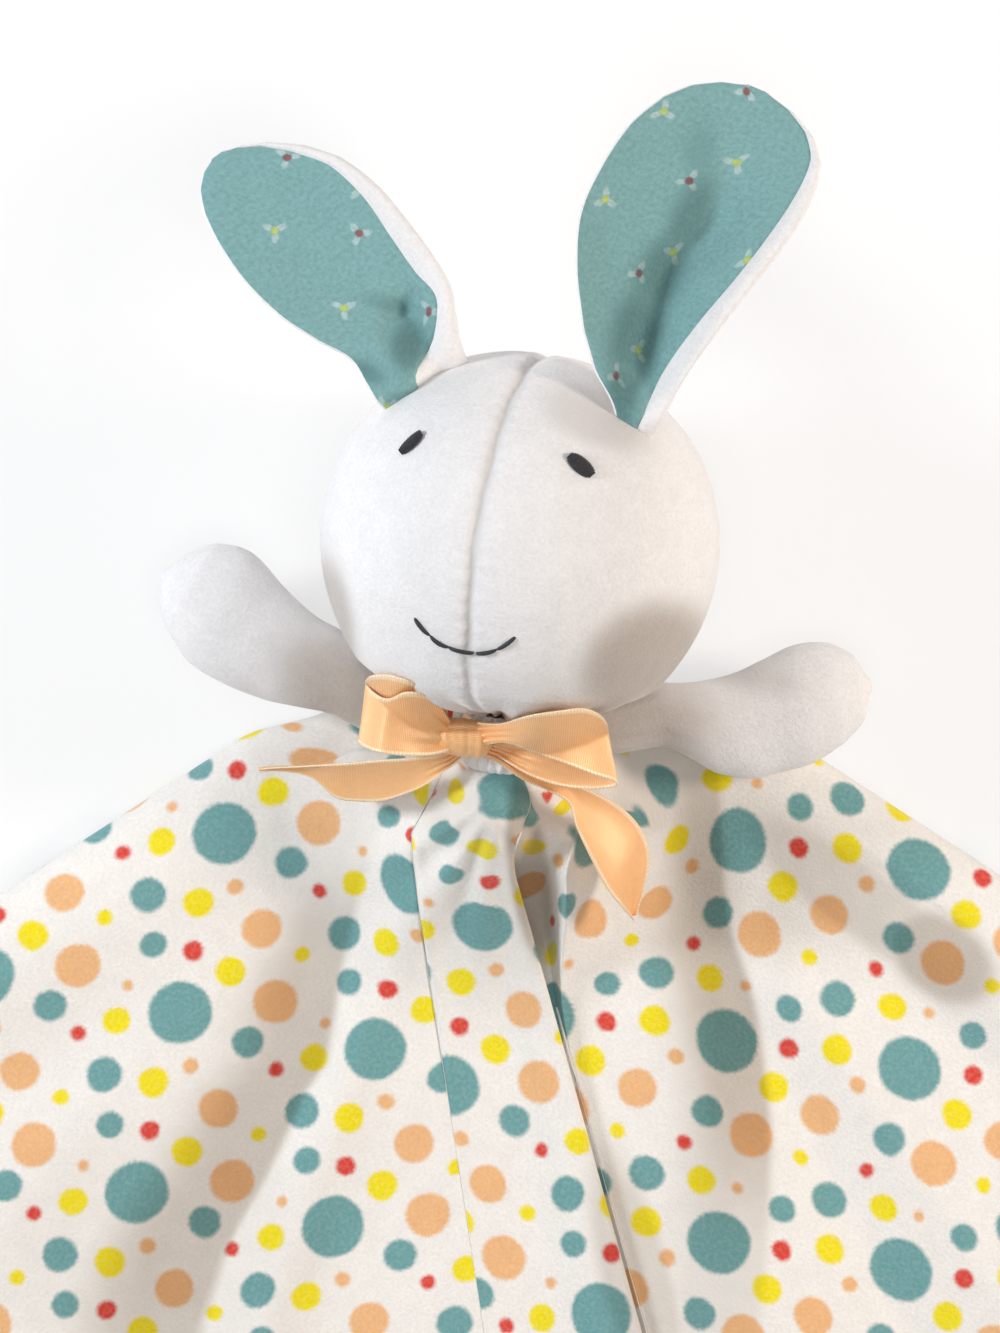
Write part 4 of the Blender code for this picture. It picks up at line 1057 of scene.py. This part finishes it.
def ear_layers(name, ear):
    """Grids of the lining, and of the back that turns over the edges to meet it, in the ear's frame."""
    first = ear["rows"][0][0]
    last = ear["rows"][-1][0]
    along = first + (last - first) * (1.0 - (1.0 - np.linspace(0.0, 1.0, 96)) ** 1.6)
    left, seam, right = along_table(ear["rows"], along).T
    root = ear["rows"][1][0]
    share = np.clip((along - root) / (last - root), 0.0, 1.0)
    opened = np.sin(pi * np.minimum(share / 0.35, 1.0) / 2.0)
    widths = right - left
    narrowing = np.where(share > 0.5, np.minimum(widths / widths.max(), 1.0) ** 2, 1.0)

    def front(across):
        middle = (left + right)[:, None] / 2.0
        half = np.maximum((right - left)[:, None] / 2.0, 0.6)
        reach = (across - middle) / half
        cup = ear["cup"] * (opened * narrowing)[:, None] * (reach**2 - 0.35) * np.cos(share * pi / 3.0)[:, None]
        whole = along[:, None] + 0.0 * across
        sunk = 1.5 * np.maximum(root - along, 0.0)[:, None]
        kept = 1.0 - 0.55 * np.clip(np.abs(reach), 0.0, 1.0) ** 4
        return cup - sunk + ear_bend(name, across, whole) * kept

    tip = np.sqrt(np.clip(1.0 - ((share - 0.93) / 0.07) ** 2, 0.0, 1.0))
    thin = np.where(share > 0.93, tip, 1.0)[:, None]
    places = np.linspace(0.0, 1.0, 60)
    across = left[:, None] + (seam - left)[:, None] * places
    crown = 0.9 * (1.0 - np.abs(2.0 * places - 1.0) ** 5)
    height = front(across) + 0.35 + crown * thin
    lining = np.stack((across, along[:, None] + 0.0 * across, height), -1)

    rim = np.linspace(0.0, 1.0, 14)
    rim_across = seam[:, None] + (right - seam)[:, None] * np.sin(rim * pi / 2.0)
    rim_height = front(rim_across) + 0.35 + thin * (1.1 * np.sin(rim * pi) ** 0.7 * (1.0 - rim) - 1.6 * rim**3)
    back_places = np.linspace(1.0, 0.0, 60)[1:]
    back_across = left[:, None] + (right - left)[:, None] * back_places
    puff = 1.4 + 1.1 * (1.0 - np.abs(2.0 * back_places - 1.0) ** 4)
    back_height = front(back_across) + 0.35 - thin * puff
    edge = np.linspace(0.0, 1.0, 8)[1:]
    edge_across = left[:, None] - 0.5 * np.sin(edge * pi)[None, :] * thin
    edge_height = front(left[:, None] + 0.0 * edge_across) + 0.35 - thin * 1.4 * (1.0 - edge)[None, :]
    across = np.concatenate((rim_across, back_across, edge_across), 1)
    height = np.concatenate((rim_height, back_height, edge_height), 1)
    back = np.stack((across, along[:, None] + 0.0 * across, height), -1)
    return lining * MM, back * MM


class LOVEY_OT_ears(bpy.types.Operator):
    """Build both ears: a printed lining and a white back that shows as a rim"""

    bl_idname = "lovey.ears"
    bl_label = "Ears"

    def execute(self, context):
        teal = teal_velour()
        white = white_velour("ear_velour")
        for name, ear in EARS.items():
            matrix = ear_frame(ear)
            lining, back = ear_layers(name, ear)
            steps = np.linalg.norm(np.diff(lining, axis=1), axis=2)
            across = np.concatenate((np.zeros((len(lining), 1)), np.cumsum(steps, 1)), 1)
            shift = 0.004 if name == "left" else 0.017
            cloth = np.stack((across - across[:, 30:31] + shift, lining[:, :, 1] + shift * 0.4), -1)
            placed = moved(lining, matrix)
            painted_shade = painted_shade_ovals(placed, EAR_PAINTED_SHADE[name], 0.7)
            front = grid_piece(name + "_ear_front", placed, teal, cloth=cloth, painted_shade=painted_shade)
            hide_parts(name + "_ear_lining")
            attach(front, name + "_ear")
            rear = grid_piece(name + "_ear_rear", moved(back, matrix), white)
            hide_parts(name + "_ear_back", name + "_ear_root")
            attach(rear, name + "_ear")
        return {"FINISHED"}


# Arms: share along the arm; then sideways, rise, half width and half thickness in millimetres


ARMS = {
    "left": {
        "pivot": (-23.0, 2.0, 26.2), "length": 72.0, "heading": 150.0,
        "rows": (
            (0.0, 0.0, 0.0, 6.0, 6.0), (0.15, 0.0, 0.0, 8.0, 6.5), (0.28, 0.7, -1.0, 9.4, 6.9),
            (0.39, -0.5, -2.3, 11.0, 7.3), (0.49, -1.7, -3.4, 12.2, 8.3), (0.63, -1.4, -4.0, 14.0, 9.6),
            (0.78, 0.4, -4.4, 15.5, 10.8), (0.90, 1.4, -4.2, 12.3, 9.2), (0.97, 0.8, -4.2, 7.2, 5.5),
            (1.0, 0.4, -4.2, 1.6, 1.3),
        ),
    },
    "right": {
        "pivot": (13.5, 1.0, 26.0), "length": 73.5, "heading": 9.0,
        "rows": (
            (0.0, 0.0, 0.0, 6.0, 6.0), (0.15, 0.6, 0.0, 7.0, 6.6), (0.30, 0.3, -0.6, 8.0, 7.2),
            (0.38, 2.6, -1.4, 9.6, 8.0), (0.45, 4.8, -2.2, 11.6, 8.9), (0.56, 5.8, -3.4, 13.3, 10.2),
            (0.66, 4.6, -4.2, 14.2, 10.9), (0.77, 3.0, -4.4, 14.8, 11.2), (0.88, 1.6, -4.4, 12.6, 9.6),
            (0.96, 1.2, -4.4, 8.2, 6.3), (1.0, 1.0, -4.4, 1.6, 1.3),
        ),
    },
}


# painted shade on the arms' inner parts beside the head, and under the paws
ARM_PAINTED_SHADE = {
    "left": ((-42.0, 10.0, 13.0, 17.0, -52.0, 0.95), (-64.0, 8.0, 8.0, 5.0, 30.0, 0.35)),
    "right": ((31.0, 3.0, 17.0, 11.0, 0.0, 0.85), (55.0, 14.0, 14.0, 4.0, 12.0, 0.4)),
}


ARM_ROOT = 6.0
ROOT_RINGS = (12.0, 40.0, 66.0)
# rings that close the tip: how far past the last row, and their size as a share of it
TIP_RINGS = ((0.25, 0.7), (0.40, 0.35), (0.45, 0.02))


def arm_surface(name, arm):
    """The stuffed arm as rings from its rounded root to its closed tip."""
    heading = radians(arm["heading"])
    forward = np.array((cos(heading), sin(heading), 0.0))
    side = np.array((sin(heading), -cos(heading), 0.0))
    upward = np.array((0.0, 0.0, 1.0))
    share = 1.0 - (1.0 - np.linspace(0.0, 1.0, 110)) ** 1.7
    values = along_table(arm["rows"], share)
    turn = np.linspace(0.0, 2.0 * pi, 96, endpoint=False)
    centre = forward * (share * arm["length"])[:, None] + side * values[:, :1] + upward * values[:, 1:2]
    ring_side = np.cos(turn)
    ring_up = np.sin(turn)
    seam = 0.35 * np.exp(-(((np.abs(np.cos(turn)) - 1.0) / 0.012) ** 2))
    wide = values[:, 2:3] - seam * eased(0.0, 0.2, share)[:, None]
    thick = values[:, 3:4]
    points = centre[:, None] + side * (wide * ring_side)[:, :, None] + upward * (thick * ring_up)[:, :, None]
    circle = side * ring_side[:, None] + upward * ring_up[:, None]
    root_rings = []
    for degrees in ROOT_RINGS:
        place = centre[0] - forward * ARM_ROOT * cos(radians(degrees))
        root_rings.append(place + ARM_ROOT * sin(radians(degrees)) * circle)
    points = np.concatenate((np.stack(root_rings), points), 0)
    normals = normals_of(points, wrap=True)
    outward = points - points.mean(axis=1, keepdims=True)
    if np.sum(normals * outward) < 0.0:
        normals = -normals
    lumps = 0.3 * soft_lumps(points * MM, 0.022, 11 if name == "left" else 12)
    wrinkles = 0.30 * np.cos(9.0 * turn + 0.7) * (1.0 - eased(3.0, 40.0, np.arange(len(points))))[:, None]
    ends = np.minimum(eased(0.0, 6.0, np.arange(len(points))), 1.0)[:, None]
    points = points + normals * ((lumps + wrinkles) * ends)[:, :, None]
    tip = points[-1].mean(axis=0)
    closed = [tip + forward * out + (points[-1] - tip) * size for out, size in TIP_RINGS]
    points = np.concatenate((points, np.stack(closed)), 0)
    return (points + np.array(arm["pivot"])) * MM


class LOVEY_OT_arms(bpy.types.Operator):
    """Build both stuffed arms"""

    bl_idname = "lovey.arms"
    bl_label = "Arms"

    def execute(self, context):
        white = white_velour("arm_velour")
        for name, arm in ARMS.items():
            points = arm_surface(name, arm)
            normals = normals_of(points, wrap=True)
            outward = points - points.mean(axis=1, keepdims=True)
            painted_shade = painted_shade_ovals(points, ARM_PAINTED_SHADE[name], 0.7)
            piece = grid_piece(
                name + "_arm", points, white, wrap=True, painted_shade=painted_shade, flip=bool(np.sum(normals * outward) > 0.0)
            )
            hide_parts(name + "_arm_cover", name + "_arm_stuffing")
            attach(piece, name + "_arm")
        return {"FINISHED"}


# Neck


# steps down the neck, then how far below the head's middle and the radius, in millimetres
NECK_ROWS = (
    (0.0, 41.6, 8.0), (1.0, 43.0, 8.6), (2.0, 44.6, 8.4), (3.0, 47.3, 8.0), (4.0, 50.0, 8.2),
    (5.0, 52.0, 8.6), (6.0, 54.0, 8.4), (7.0, 55.2, 7.2), (8.0, 55.8, 4.6), (9.0, 55.6, 1.2),
)
BAND_MIDDLE = 46.2
BAND_WIDTH = 7.4
BAND_RADIUS = 9.25


def round_neck(radius, down, turn):
    """Rings of points round the neck, from radii and distances below the head's middle in millimetres."""
    rise = np.broadcast_to(-down[:, None], radius.shape)
    points = np.stack((radius * np.sin(turn), -radius * np.cos(turn), rise), -1) * MM
    return moved(points, HEAD_FRAME)


class LOVEY_OT_neck(bpy.types.Operator):
    """Gather the cloth at the neck and tie the ribbon round it"""

    bl_idname = "lovey.neck"
    bl_label = "Neck"

    def execute(self, context):
        turn = np.linspace(0.0, 2.0 * pi, 220, endpoint=False)
        down, radius = along_table(NECK_ROWS, np.linspace(0.0, 9.0, 48)).T
        tight = (0.25 + 0.75 * np.abs(down - 47.3) / 7.0) * eased(0.0, 8.0, radius)
        pleats = 0.55 * tight[:, None] * np.cos(17.0 * turn + 1.4 * np.sin(3.0 * turn))
        r = radius[:, None] + np.minimum(pleats, 0.4)
        white = white_velour("neck_velour")
        gather = grid_piece("neck_gathers", round_neck(r, down, turn), white, wrap=True, flip=True)
        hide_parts("neck_gather")
        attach(gather, "blanket")
        across = np.linspace(-1.0, 1.0, 15)
        band = BAND_RADIUS + 0.25 * (1.0 - across**4) + 0.12 * np.cos(across * 9.0)
        r = band[:, None] + 0.10 * np.cos(9.0 * turn)
        points = round_neck(r, BAND_MIDDLE - across * BAND_WIDTH / 2.0, turn)
        cloth = np.stack(np.broadcast_arrays(across[:, None] * 0.008, turn * 0.009), -1)
        ribbon = grid_piece("neck_band", points, satin(), wrap=True, cloth=cloth)
        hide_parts("neck_ribbon")
        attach(ribbon, "blanket")
        return {"FINISHED"}


# Bow: stations hold the ribbon's upper edge and its lower edge, in millimetres from the knot's middle


KNOT = Vector((-12.4, -1.7, 56.5)) * MM
LOOPS = {
    "left": (
        ((-3.4, 5.2, 3.2), (-3.7, -2.4, 3.0)), ((-7.0, 10.2, 5.0), (-8.0, -3.6, 4.5)),
        ((-13.3, 11.6, 7.5), (-14.7, -3.6, 6.0)), ((-18.1, 10.0, 7.6), (-20.0, -2.9, 6.0)),
        ((-21.6, 11.8, 5.5), (-23.4, -1.7, 4.0)), ((-23.1, 14.2, 2.6), (-25.0, -0.5, 1.5)),
        ((-21.4, 15.6, -0.4), (-23.8, -1.2, -1.0)), ((-16.2, 15.4, -2.0), (-17.6, -1.9, -2.0)),
        ((-9.4, 12.5, -2.4), (-10.4, -1.4, -2.0)), ((-3.7, 7.0, -1.8), (-3.7, -0.5, -1.6)),
    ),
    "right": (
        ((3.5, 4.3, 3.2), (4.0, -1.4, 3.0)), ((8.8, 4.1, 5.5), (10.2, -0.5, 5.0)),
        ((15.3, 6.0, 8.0), (16.5, -2.6, 6.5)), ((23.2, 7.2, 8.8), (23.9, -5.3, 7.0)),
        ((29.0, 7.7, 7.0), (30.9, -8.1, 5.0)), ((33.0, 5.8, 3.5), (36.2, -9.8, 2.0)),
        ((34.2, 2.7, 0.5), (36.6, -11.0, -0.5)), ((29.9, 1.0, -1.5), (31.4, -11.7, -2.0)),
        ((22.2, 0.7, -2.0), (23.7, -11.0, -2.6)), ((14.6, 1.0, -2.0), (16.0, -8.4, -2.4)),
        ((6.4, 1.7, -1.6), (8.3, -3.8, -1.8)),
    ),
}
TAILS = {
    "left": (
        ((-1.6, -1.6, -2.0), (-0.6, -4.4, -2.4)), ((-4.4, -3.1, -2.8), (-4.4, -7.4, -5.2)),
        ((-9.2, -4.1, -5.0), (-10.4, -11.5, -11.5)), ((-16.4, -4.5, -8.6), (-18.1, -14.4, -19.5)),
        ((-24.3, -5.3, -13.6), (-25.5, -14.9, -25.5)), ((-30.8, -5.7, -18.2), (-31.0, -13.9, -28.5)),
        ((-38.0, -6.5, -24.0), (-36.3, -9.3, -29.0)), ((-44.0, -6.9, -28.2), (-43.0, -7.9, -30.5)),
        ((-49.8, -7.4, -31.5), (-49.5, -7.8, -31.9)),
    ),
    "right": (
        ((4.4, -0.6, -0.5), (4.0, -3.4, -0.6)), ((10.7, -2.4, -0.8), (8.8, -5.7, -1.2)),
        ((16.0, -6.7, -2.0), (14.1, -9.3, -2.8)), ((21.5, -9.1, -4.0), (20.1, -12.0, -5.0)),
        ((27.0, -11.0, -6.5), (25.4, -15.1, -8.5)), ((32.8, -13.2, -12.0), (27.3, -21.1, -9.5)),
        ((39.0, -17.0, -18.0), (30.9, -28.8, -12.0)), ((43.4, -22.5, -23.0), (35.0, -36.0, -16.5)),
        ((45.0, -28.3, -26.5), (37.8, -39.8, -21.0)), ((43.8, -35.5, -28.5), (40.0, -42.2, -25.5)),
        ((41.9, -42.7, -29.2), (41.4, -43.7, -29.0)),
    ),
}


def ribbon_surface(stations, crimp, crimp_share, crown, rows=110, columns=29):
    """A length of ribbon between its edges, crimped where it enters the knot, and its own coordinates."""
    table = [(index, *upper, *lower) for index, (upper, lower) in enumerate(stations)]
    places = np.linspace(0.0, len(stations) - 1.0, rows)
    values = along_table(table, places)
    across = np.linspace(1.0, -1.0, columns)
    upper, lower = values[:, None, :3], values[:, None, 3:]
    points = lower + (upper - lower) * ((across + 1.0) / 2.0)[None, :, None]
    normal = normals_of(points)
    from_end = places / (len(stations) - 1.0)
    pinched = 1.0 - eased(0.0, crimp_share, from_end)
    if crown == 0.0:
        pinched = np.maximum(pinched, eased(1.0 - crimp_share, 1.0, from_end))
    rise = crimp * pinched[:, None] * np.cos(across * 3.5 * pi + 0.8)
    rise = rise + crown * (1.0 - pinched)[:, None] * (1.0 - across**2)
    rise = rise + 0.18 * soft_lumps(points * MM, 0.009, len(stations)) * (1.0 - pinched)[:, None]
    points = points + normal * rise[:, :, None]
    middle = points[:, columns // 2]
    steps = np.linalg.norm(np.diff(middle, axis=0), axis=1)
    along = np.concatenate(((0.0,), np.cumsum(steps)))
    width = bpy.context.scene.lovey_sizes.ribbon_width
    cloth = np.stack(np.broadcast_arrays(across[None, :] * width / 2.0, along[:, None] * MM), -1)
    return points * MM + np.array(KNOT), cloth


def over_ball(points, clearance):
    """Lifts what the head would cover to just above its surface."""
    radius = bpy.context.scene.lovey_sizes.head_radius + clearance
    across = points[:, :, 0] - HEAD_CENTRE.x
    along = points[:, :, 1] - HEAD_CENTRE.y
    surface = HEAD_CENTRE.z + np.sqrt(np.maximum(radius**2 - across**2 - along**2, 0.0))
    over = surface - points[:, :, 2]
    from_knot = np.hypot(points[:, :, 0] - KNOT.x, points[:, :, 1] - KNOT.y)
    lifted = points.copy()
    lifted[:, :, 2] += (over + np.hypot(over, 0.0035)) / 2.0 * eased(0.002, 0.021, from_knot)
    return lifted


def ribbon_piece(name, points, cloth, finish):
    piece = grid_piece(name, points, finish, cloth=cloth)
    thickness = piece.modifiers.new("thickness", "SOLIDIFY")
    thickness.thickness = 0.0004
    thickness.offset = 0.0
    return piece


class LOVEY_OT_bow(bpy.types.Operator):
    """Tie the bow: a knot, two loops and two tails of satin ribbon"""

    bl_idname = "lovey.bow"
    bl_label = "Bow"

    def execute(self, context):
        woven = satin()
        for name, stations in LOOPS.items():
            points, cloth = ribbon_surface(stations, crimp=0.7, crimp_share=0.26, crown=0.0)
            points = over_ball(points, np.linspace(0.0030, 0.0012, len(points))[:, None])
            piece = ribbon_piece(name + "_bow_loop", points, cloth, woven)
            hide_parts("bow_" + name + "_loop")
            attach(piece, "blanket")
        for name, stations in TAILS.items():
            crown = 0.8 if name == "left" else -1.4
            points, cloth = ribbon_surface(stations, crimp=0.4, crimp_share=0.3, crown=crown)
            piece = ribbon_piece(name + "_bow_tail", points, cloth, woven)
            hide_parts("bow_" + name + "_tail")
            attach(piece, name + "_tail")
        turn = np.linspace(0.0, 2.0 * pi, 72, endpoint=False)
        across = np.linspace(-1.0, 1.0, 41)
        body = np.maximum(1.0 - np.abs(across) ** 5.0, 0.02) ** 0.5
        folds = 1.0 + 0.02 * np.cos(across * 9.0 + 0.8) + 0.012 * np.cos(across * 23.0)
        crease = 0.10 * np.exp(-(((turn - 1.05 + 0.25 * across[:, None]) / 0.16) ** 2))
        size = (body * folds)[:, None] * (1.0 - crease)
        x = np.broadcast_to(across[:, None] * 6.6, (41, 72)) + 0.8 * np.sin(turn) * across[:, None]
        lean = -0.10 * x
        points = np.stack((x, 4.6 * size * np.cos(turn) + lean, 5.2 * size * np.sin(turn)), -1) * MM
        points = points + np.array(KNOT)
        points[:, :, 1] += 0.0007
        cloth = np.stack(np.broadcast_arrays(across[:, None] * 0.0078, turn * 0.0045), -1)
        knot = grid_piece("bow_knot_wrap", points, woven, wrap=True, cloth=cloth)
        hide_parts("bow_knot")
        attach(knot, "blanket")
        return {"FINISHED"}


# Stage


class LOVEY_OT_stage(bpy.types.Operator):
    """Set the pale table, the soft lamps and the camera straight above"""

    bl_idname = "lovey.stage"
    bl_label = "Stage"

    def execute(self, context):
        finish = Finish("table")
        finish.put("Base Color", full(context.scene.lovey_colours.table))
        finish.put("Roughness", 0.9)
        finish.put("Specular IOR Level", 0.0)
        output = finish.tree.nodes["Material Output"]
        glow = finish.node("Emission", (1.0, 1.0, 1.0, 1.0), 1.0)
        seen = finish.node("LightPath")
        share = finish.maths("MULTIPLY", seen.outputs["Is Camera Ray"], 0.6)
        both = finish.node("MixShader", share, finish.shader.outputs[0], glow.outputs[0])
        finish.tree.links.new(both.outputs[0], output.inputs[0])
        mesh = bpy.data.meshes.new("table")
        reach = 6.0
        corners = [(-reach, -reach, 0.0), (reach, -reach, 0.0), (reach, reach, 0.0), (-reach, reach, 0.0)]
        mesh.from_pydata(corners, [], [(0, 1, 2, 3)])
        mesh.materials.append(finish.material)
        table = bpy.data.objects.new("table", mesh)
        context.scene.collection.objects.link(table)
        for name, place, size, power, colour in (
            ("left_lamp", (-0.95, 0.25, 0.62), 0.24, 8.4, (0.90, 0.94, 1.0)),
            ("right_lamp", (0.93, 0.12, 0.60), 0.24, 6.6, (1.0, 0.87, 0.76)),
            ("top_lamp", (0.1, -0.3, 3.0), 1.2, 18.5, (1.0, 0.98, 0.95)),
        ):
            light = bpy.data.lights.new(name, "AREA")
            light.energy = power
            light.size = size
            light.color = colour
            lamp = bpy.data.objects.new(name, light)
            lamp.location = place
            towards = Vector((0.0, 0.02, 0.03)) - Vector(place)
            lamp.rotation_euler = towards.to_track_quat("-Z", "Y").to_euler()
            context.scene.collection.objects.link(lamp)
        world = bpy.data.worlds.new("room")
        world.use_nodes = True
        background = world.node_tree.nodes["Background"]
        background.inputs["Color"].default_value = (1.0, 1.0, 1.0, 1.0)
        background.inputs["Strength"].default_value = 0.33
        context.scene.world = world
        lens = bpy.data.cameras.new("camera")
        distance = 2.6
        lens.lens = 36.0 * (distance - 0.05) / 0.32
        lens.sensor_width = 36.0
        lens.clip_end = 20.0
        camera = bpy.data.objects.new("camera", lens)
        camera.location = (-0.0036, 0.0160, distance)
        context.scene.collection.objects.link(camera)
        context.scene.camera = camera
        context.scene.view_settings.view_transform = "Standard"
        return {"FINISHED"}


# Settings, panel and registration


def size_property(name, description, default):
    return FloatProperty(
        name=name, description=description, default=default, unit="LENGTH", min=0.0, precision=5
    )


def colour_property(name, description, default):
    return FloatVectorProperty(
        name=name, description=description, default=default, subtype="COLOR", min=0.0, max=1.0
    )


class LoveySizes(bpy.types.PropertyGroup):
    """The lovey's sizes"""

    blanket_side: size_property("Blanket side", "The flat blanket's side", 0.350)
    head_radius: size_property("Head radius", "The stuffed head's radius", 0.048)
    ribbon_width: size_property("Ribbon width", "The satin ribbon's width", 0.016)
    seam_depth: size_property("Seam depth", "How deep the head's centre seam lies", 0.0009)
    thread_radius: size_property("Mouth thread", "Radius of the mouth's thread", 0.00055)
    pile: size_property("Pile", "Width of one tuft of the velour's pile", 0.0009)


class LoveyColours(bpy.types.PropertyGroup):
    """The lovey's colours"""

    white_velour: colour_property("White velour", "Head, arms, ear backs and lining", (0.88, 0.865, 0.865))
    printed_ground: colour_property("Printed ground", "The blanket between its dots", (0.91, 0.88, 0.835))
    dot_teal: colour_property("Teal dots", "Colour of the teal dots", (0.16, 0.37, 0.375))
    dot_peach: colour_property("Peach dots", "Colour of the peach dots", (0.88, 0.50, 0.235))
    dot_yellow: colour_property("Yellow dots", "Colour of the yellow dots", (0.92, 0.77, 0.006))
    dot_red: colour_property("Red dots", "Colour of the red dots", (0.74, 0.065, 0.045))
    lining_teal: colour_property("Ear lining", "Ground of the ears' lining", (0.235, 0.445, 0.45))
    flower_white: colour_property("Petals", "Petals of the lining's flowers", (0.62, 0.76, 0.76))
    flower_yellow: colour_property("Yellow hearts", "Yellow hearts of the flowers", (0.60, 0.68, 0.10))
    flower_red: colour_property("Red hearts", "Red hearts of the flowers", (0.30, 0.02, 0.03))
    satin: colour_property("Satin", "The ribbon", (1.0, 0.545, 0.235))
    satin_edge: colour_property("Satin edge", "The ribbon's woven edges", (1.0, 0.84, 0.60))
    thread: colour_property("Thread", "Eyes and mouth", (0.018, 0.018, 0.024))
    table: colour_property("Table", "The table under the toy", (0.92, 0.92, 0.92))


STEPS = (
    LOVEY_OT_blanket, LOVEY_OT_head, LOVEY_OT_face, LOVEY_OT_ears, LOVEY_OT_arms, LOVEY_OT_neck, LOVEY_OT_bow,
    LOVEY_OT_stage,
)


class LOVEY_PT_panel(bpy.types.Panel):
    """Lists the steps that build the lovey"""

    bl_idname = "LOVEY_PT_panel"
    bl_label = "Lovey"
    bl_space_type = "VIEW_3D"
    bl_region_type = "UI"
    bl_category = "Lovey"

    def draw(self, context):
        for step in STEPS:
            self.layout.operator(step.bl_idname)
        for group in (context.scene.lovey_sizes, context.scene.lovey_colours):
            for name in group.__annotations__:
                self.layout.prop(group, name)


CLASSES = (LoveySizes, LoveyColours, *STEPS, LOVEY_PT_panel)


def register():
    for kind in CLASSES:
        bpy.utils.register_class(kind)
    bpy.types.Scene.lovey_sizes = PointerProperty(type=LoveySizes)
    bpy.types.Scene.lovey_colours = PointerProperty(type=LoveyColours)


def unregister():
    del bpy.types.Scene.lovey_colours
    del bpy.types.Scene.lovey_sizes
    for kind in reversed(CLASSES):
        bpy.utils.unregister_class(kind)


def main():
    register()
    for step in STEPS:
        family, name = step.bl_idname.split(".")
        getattr(getattr(bpy.ops, family), name)()


if __name__ == "__main__":
    main()
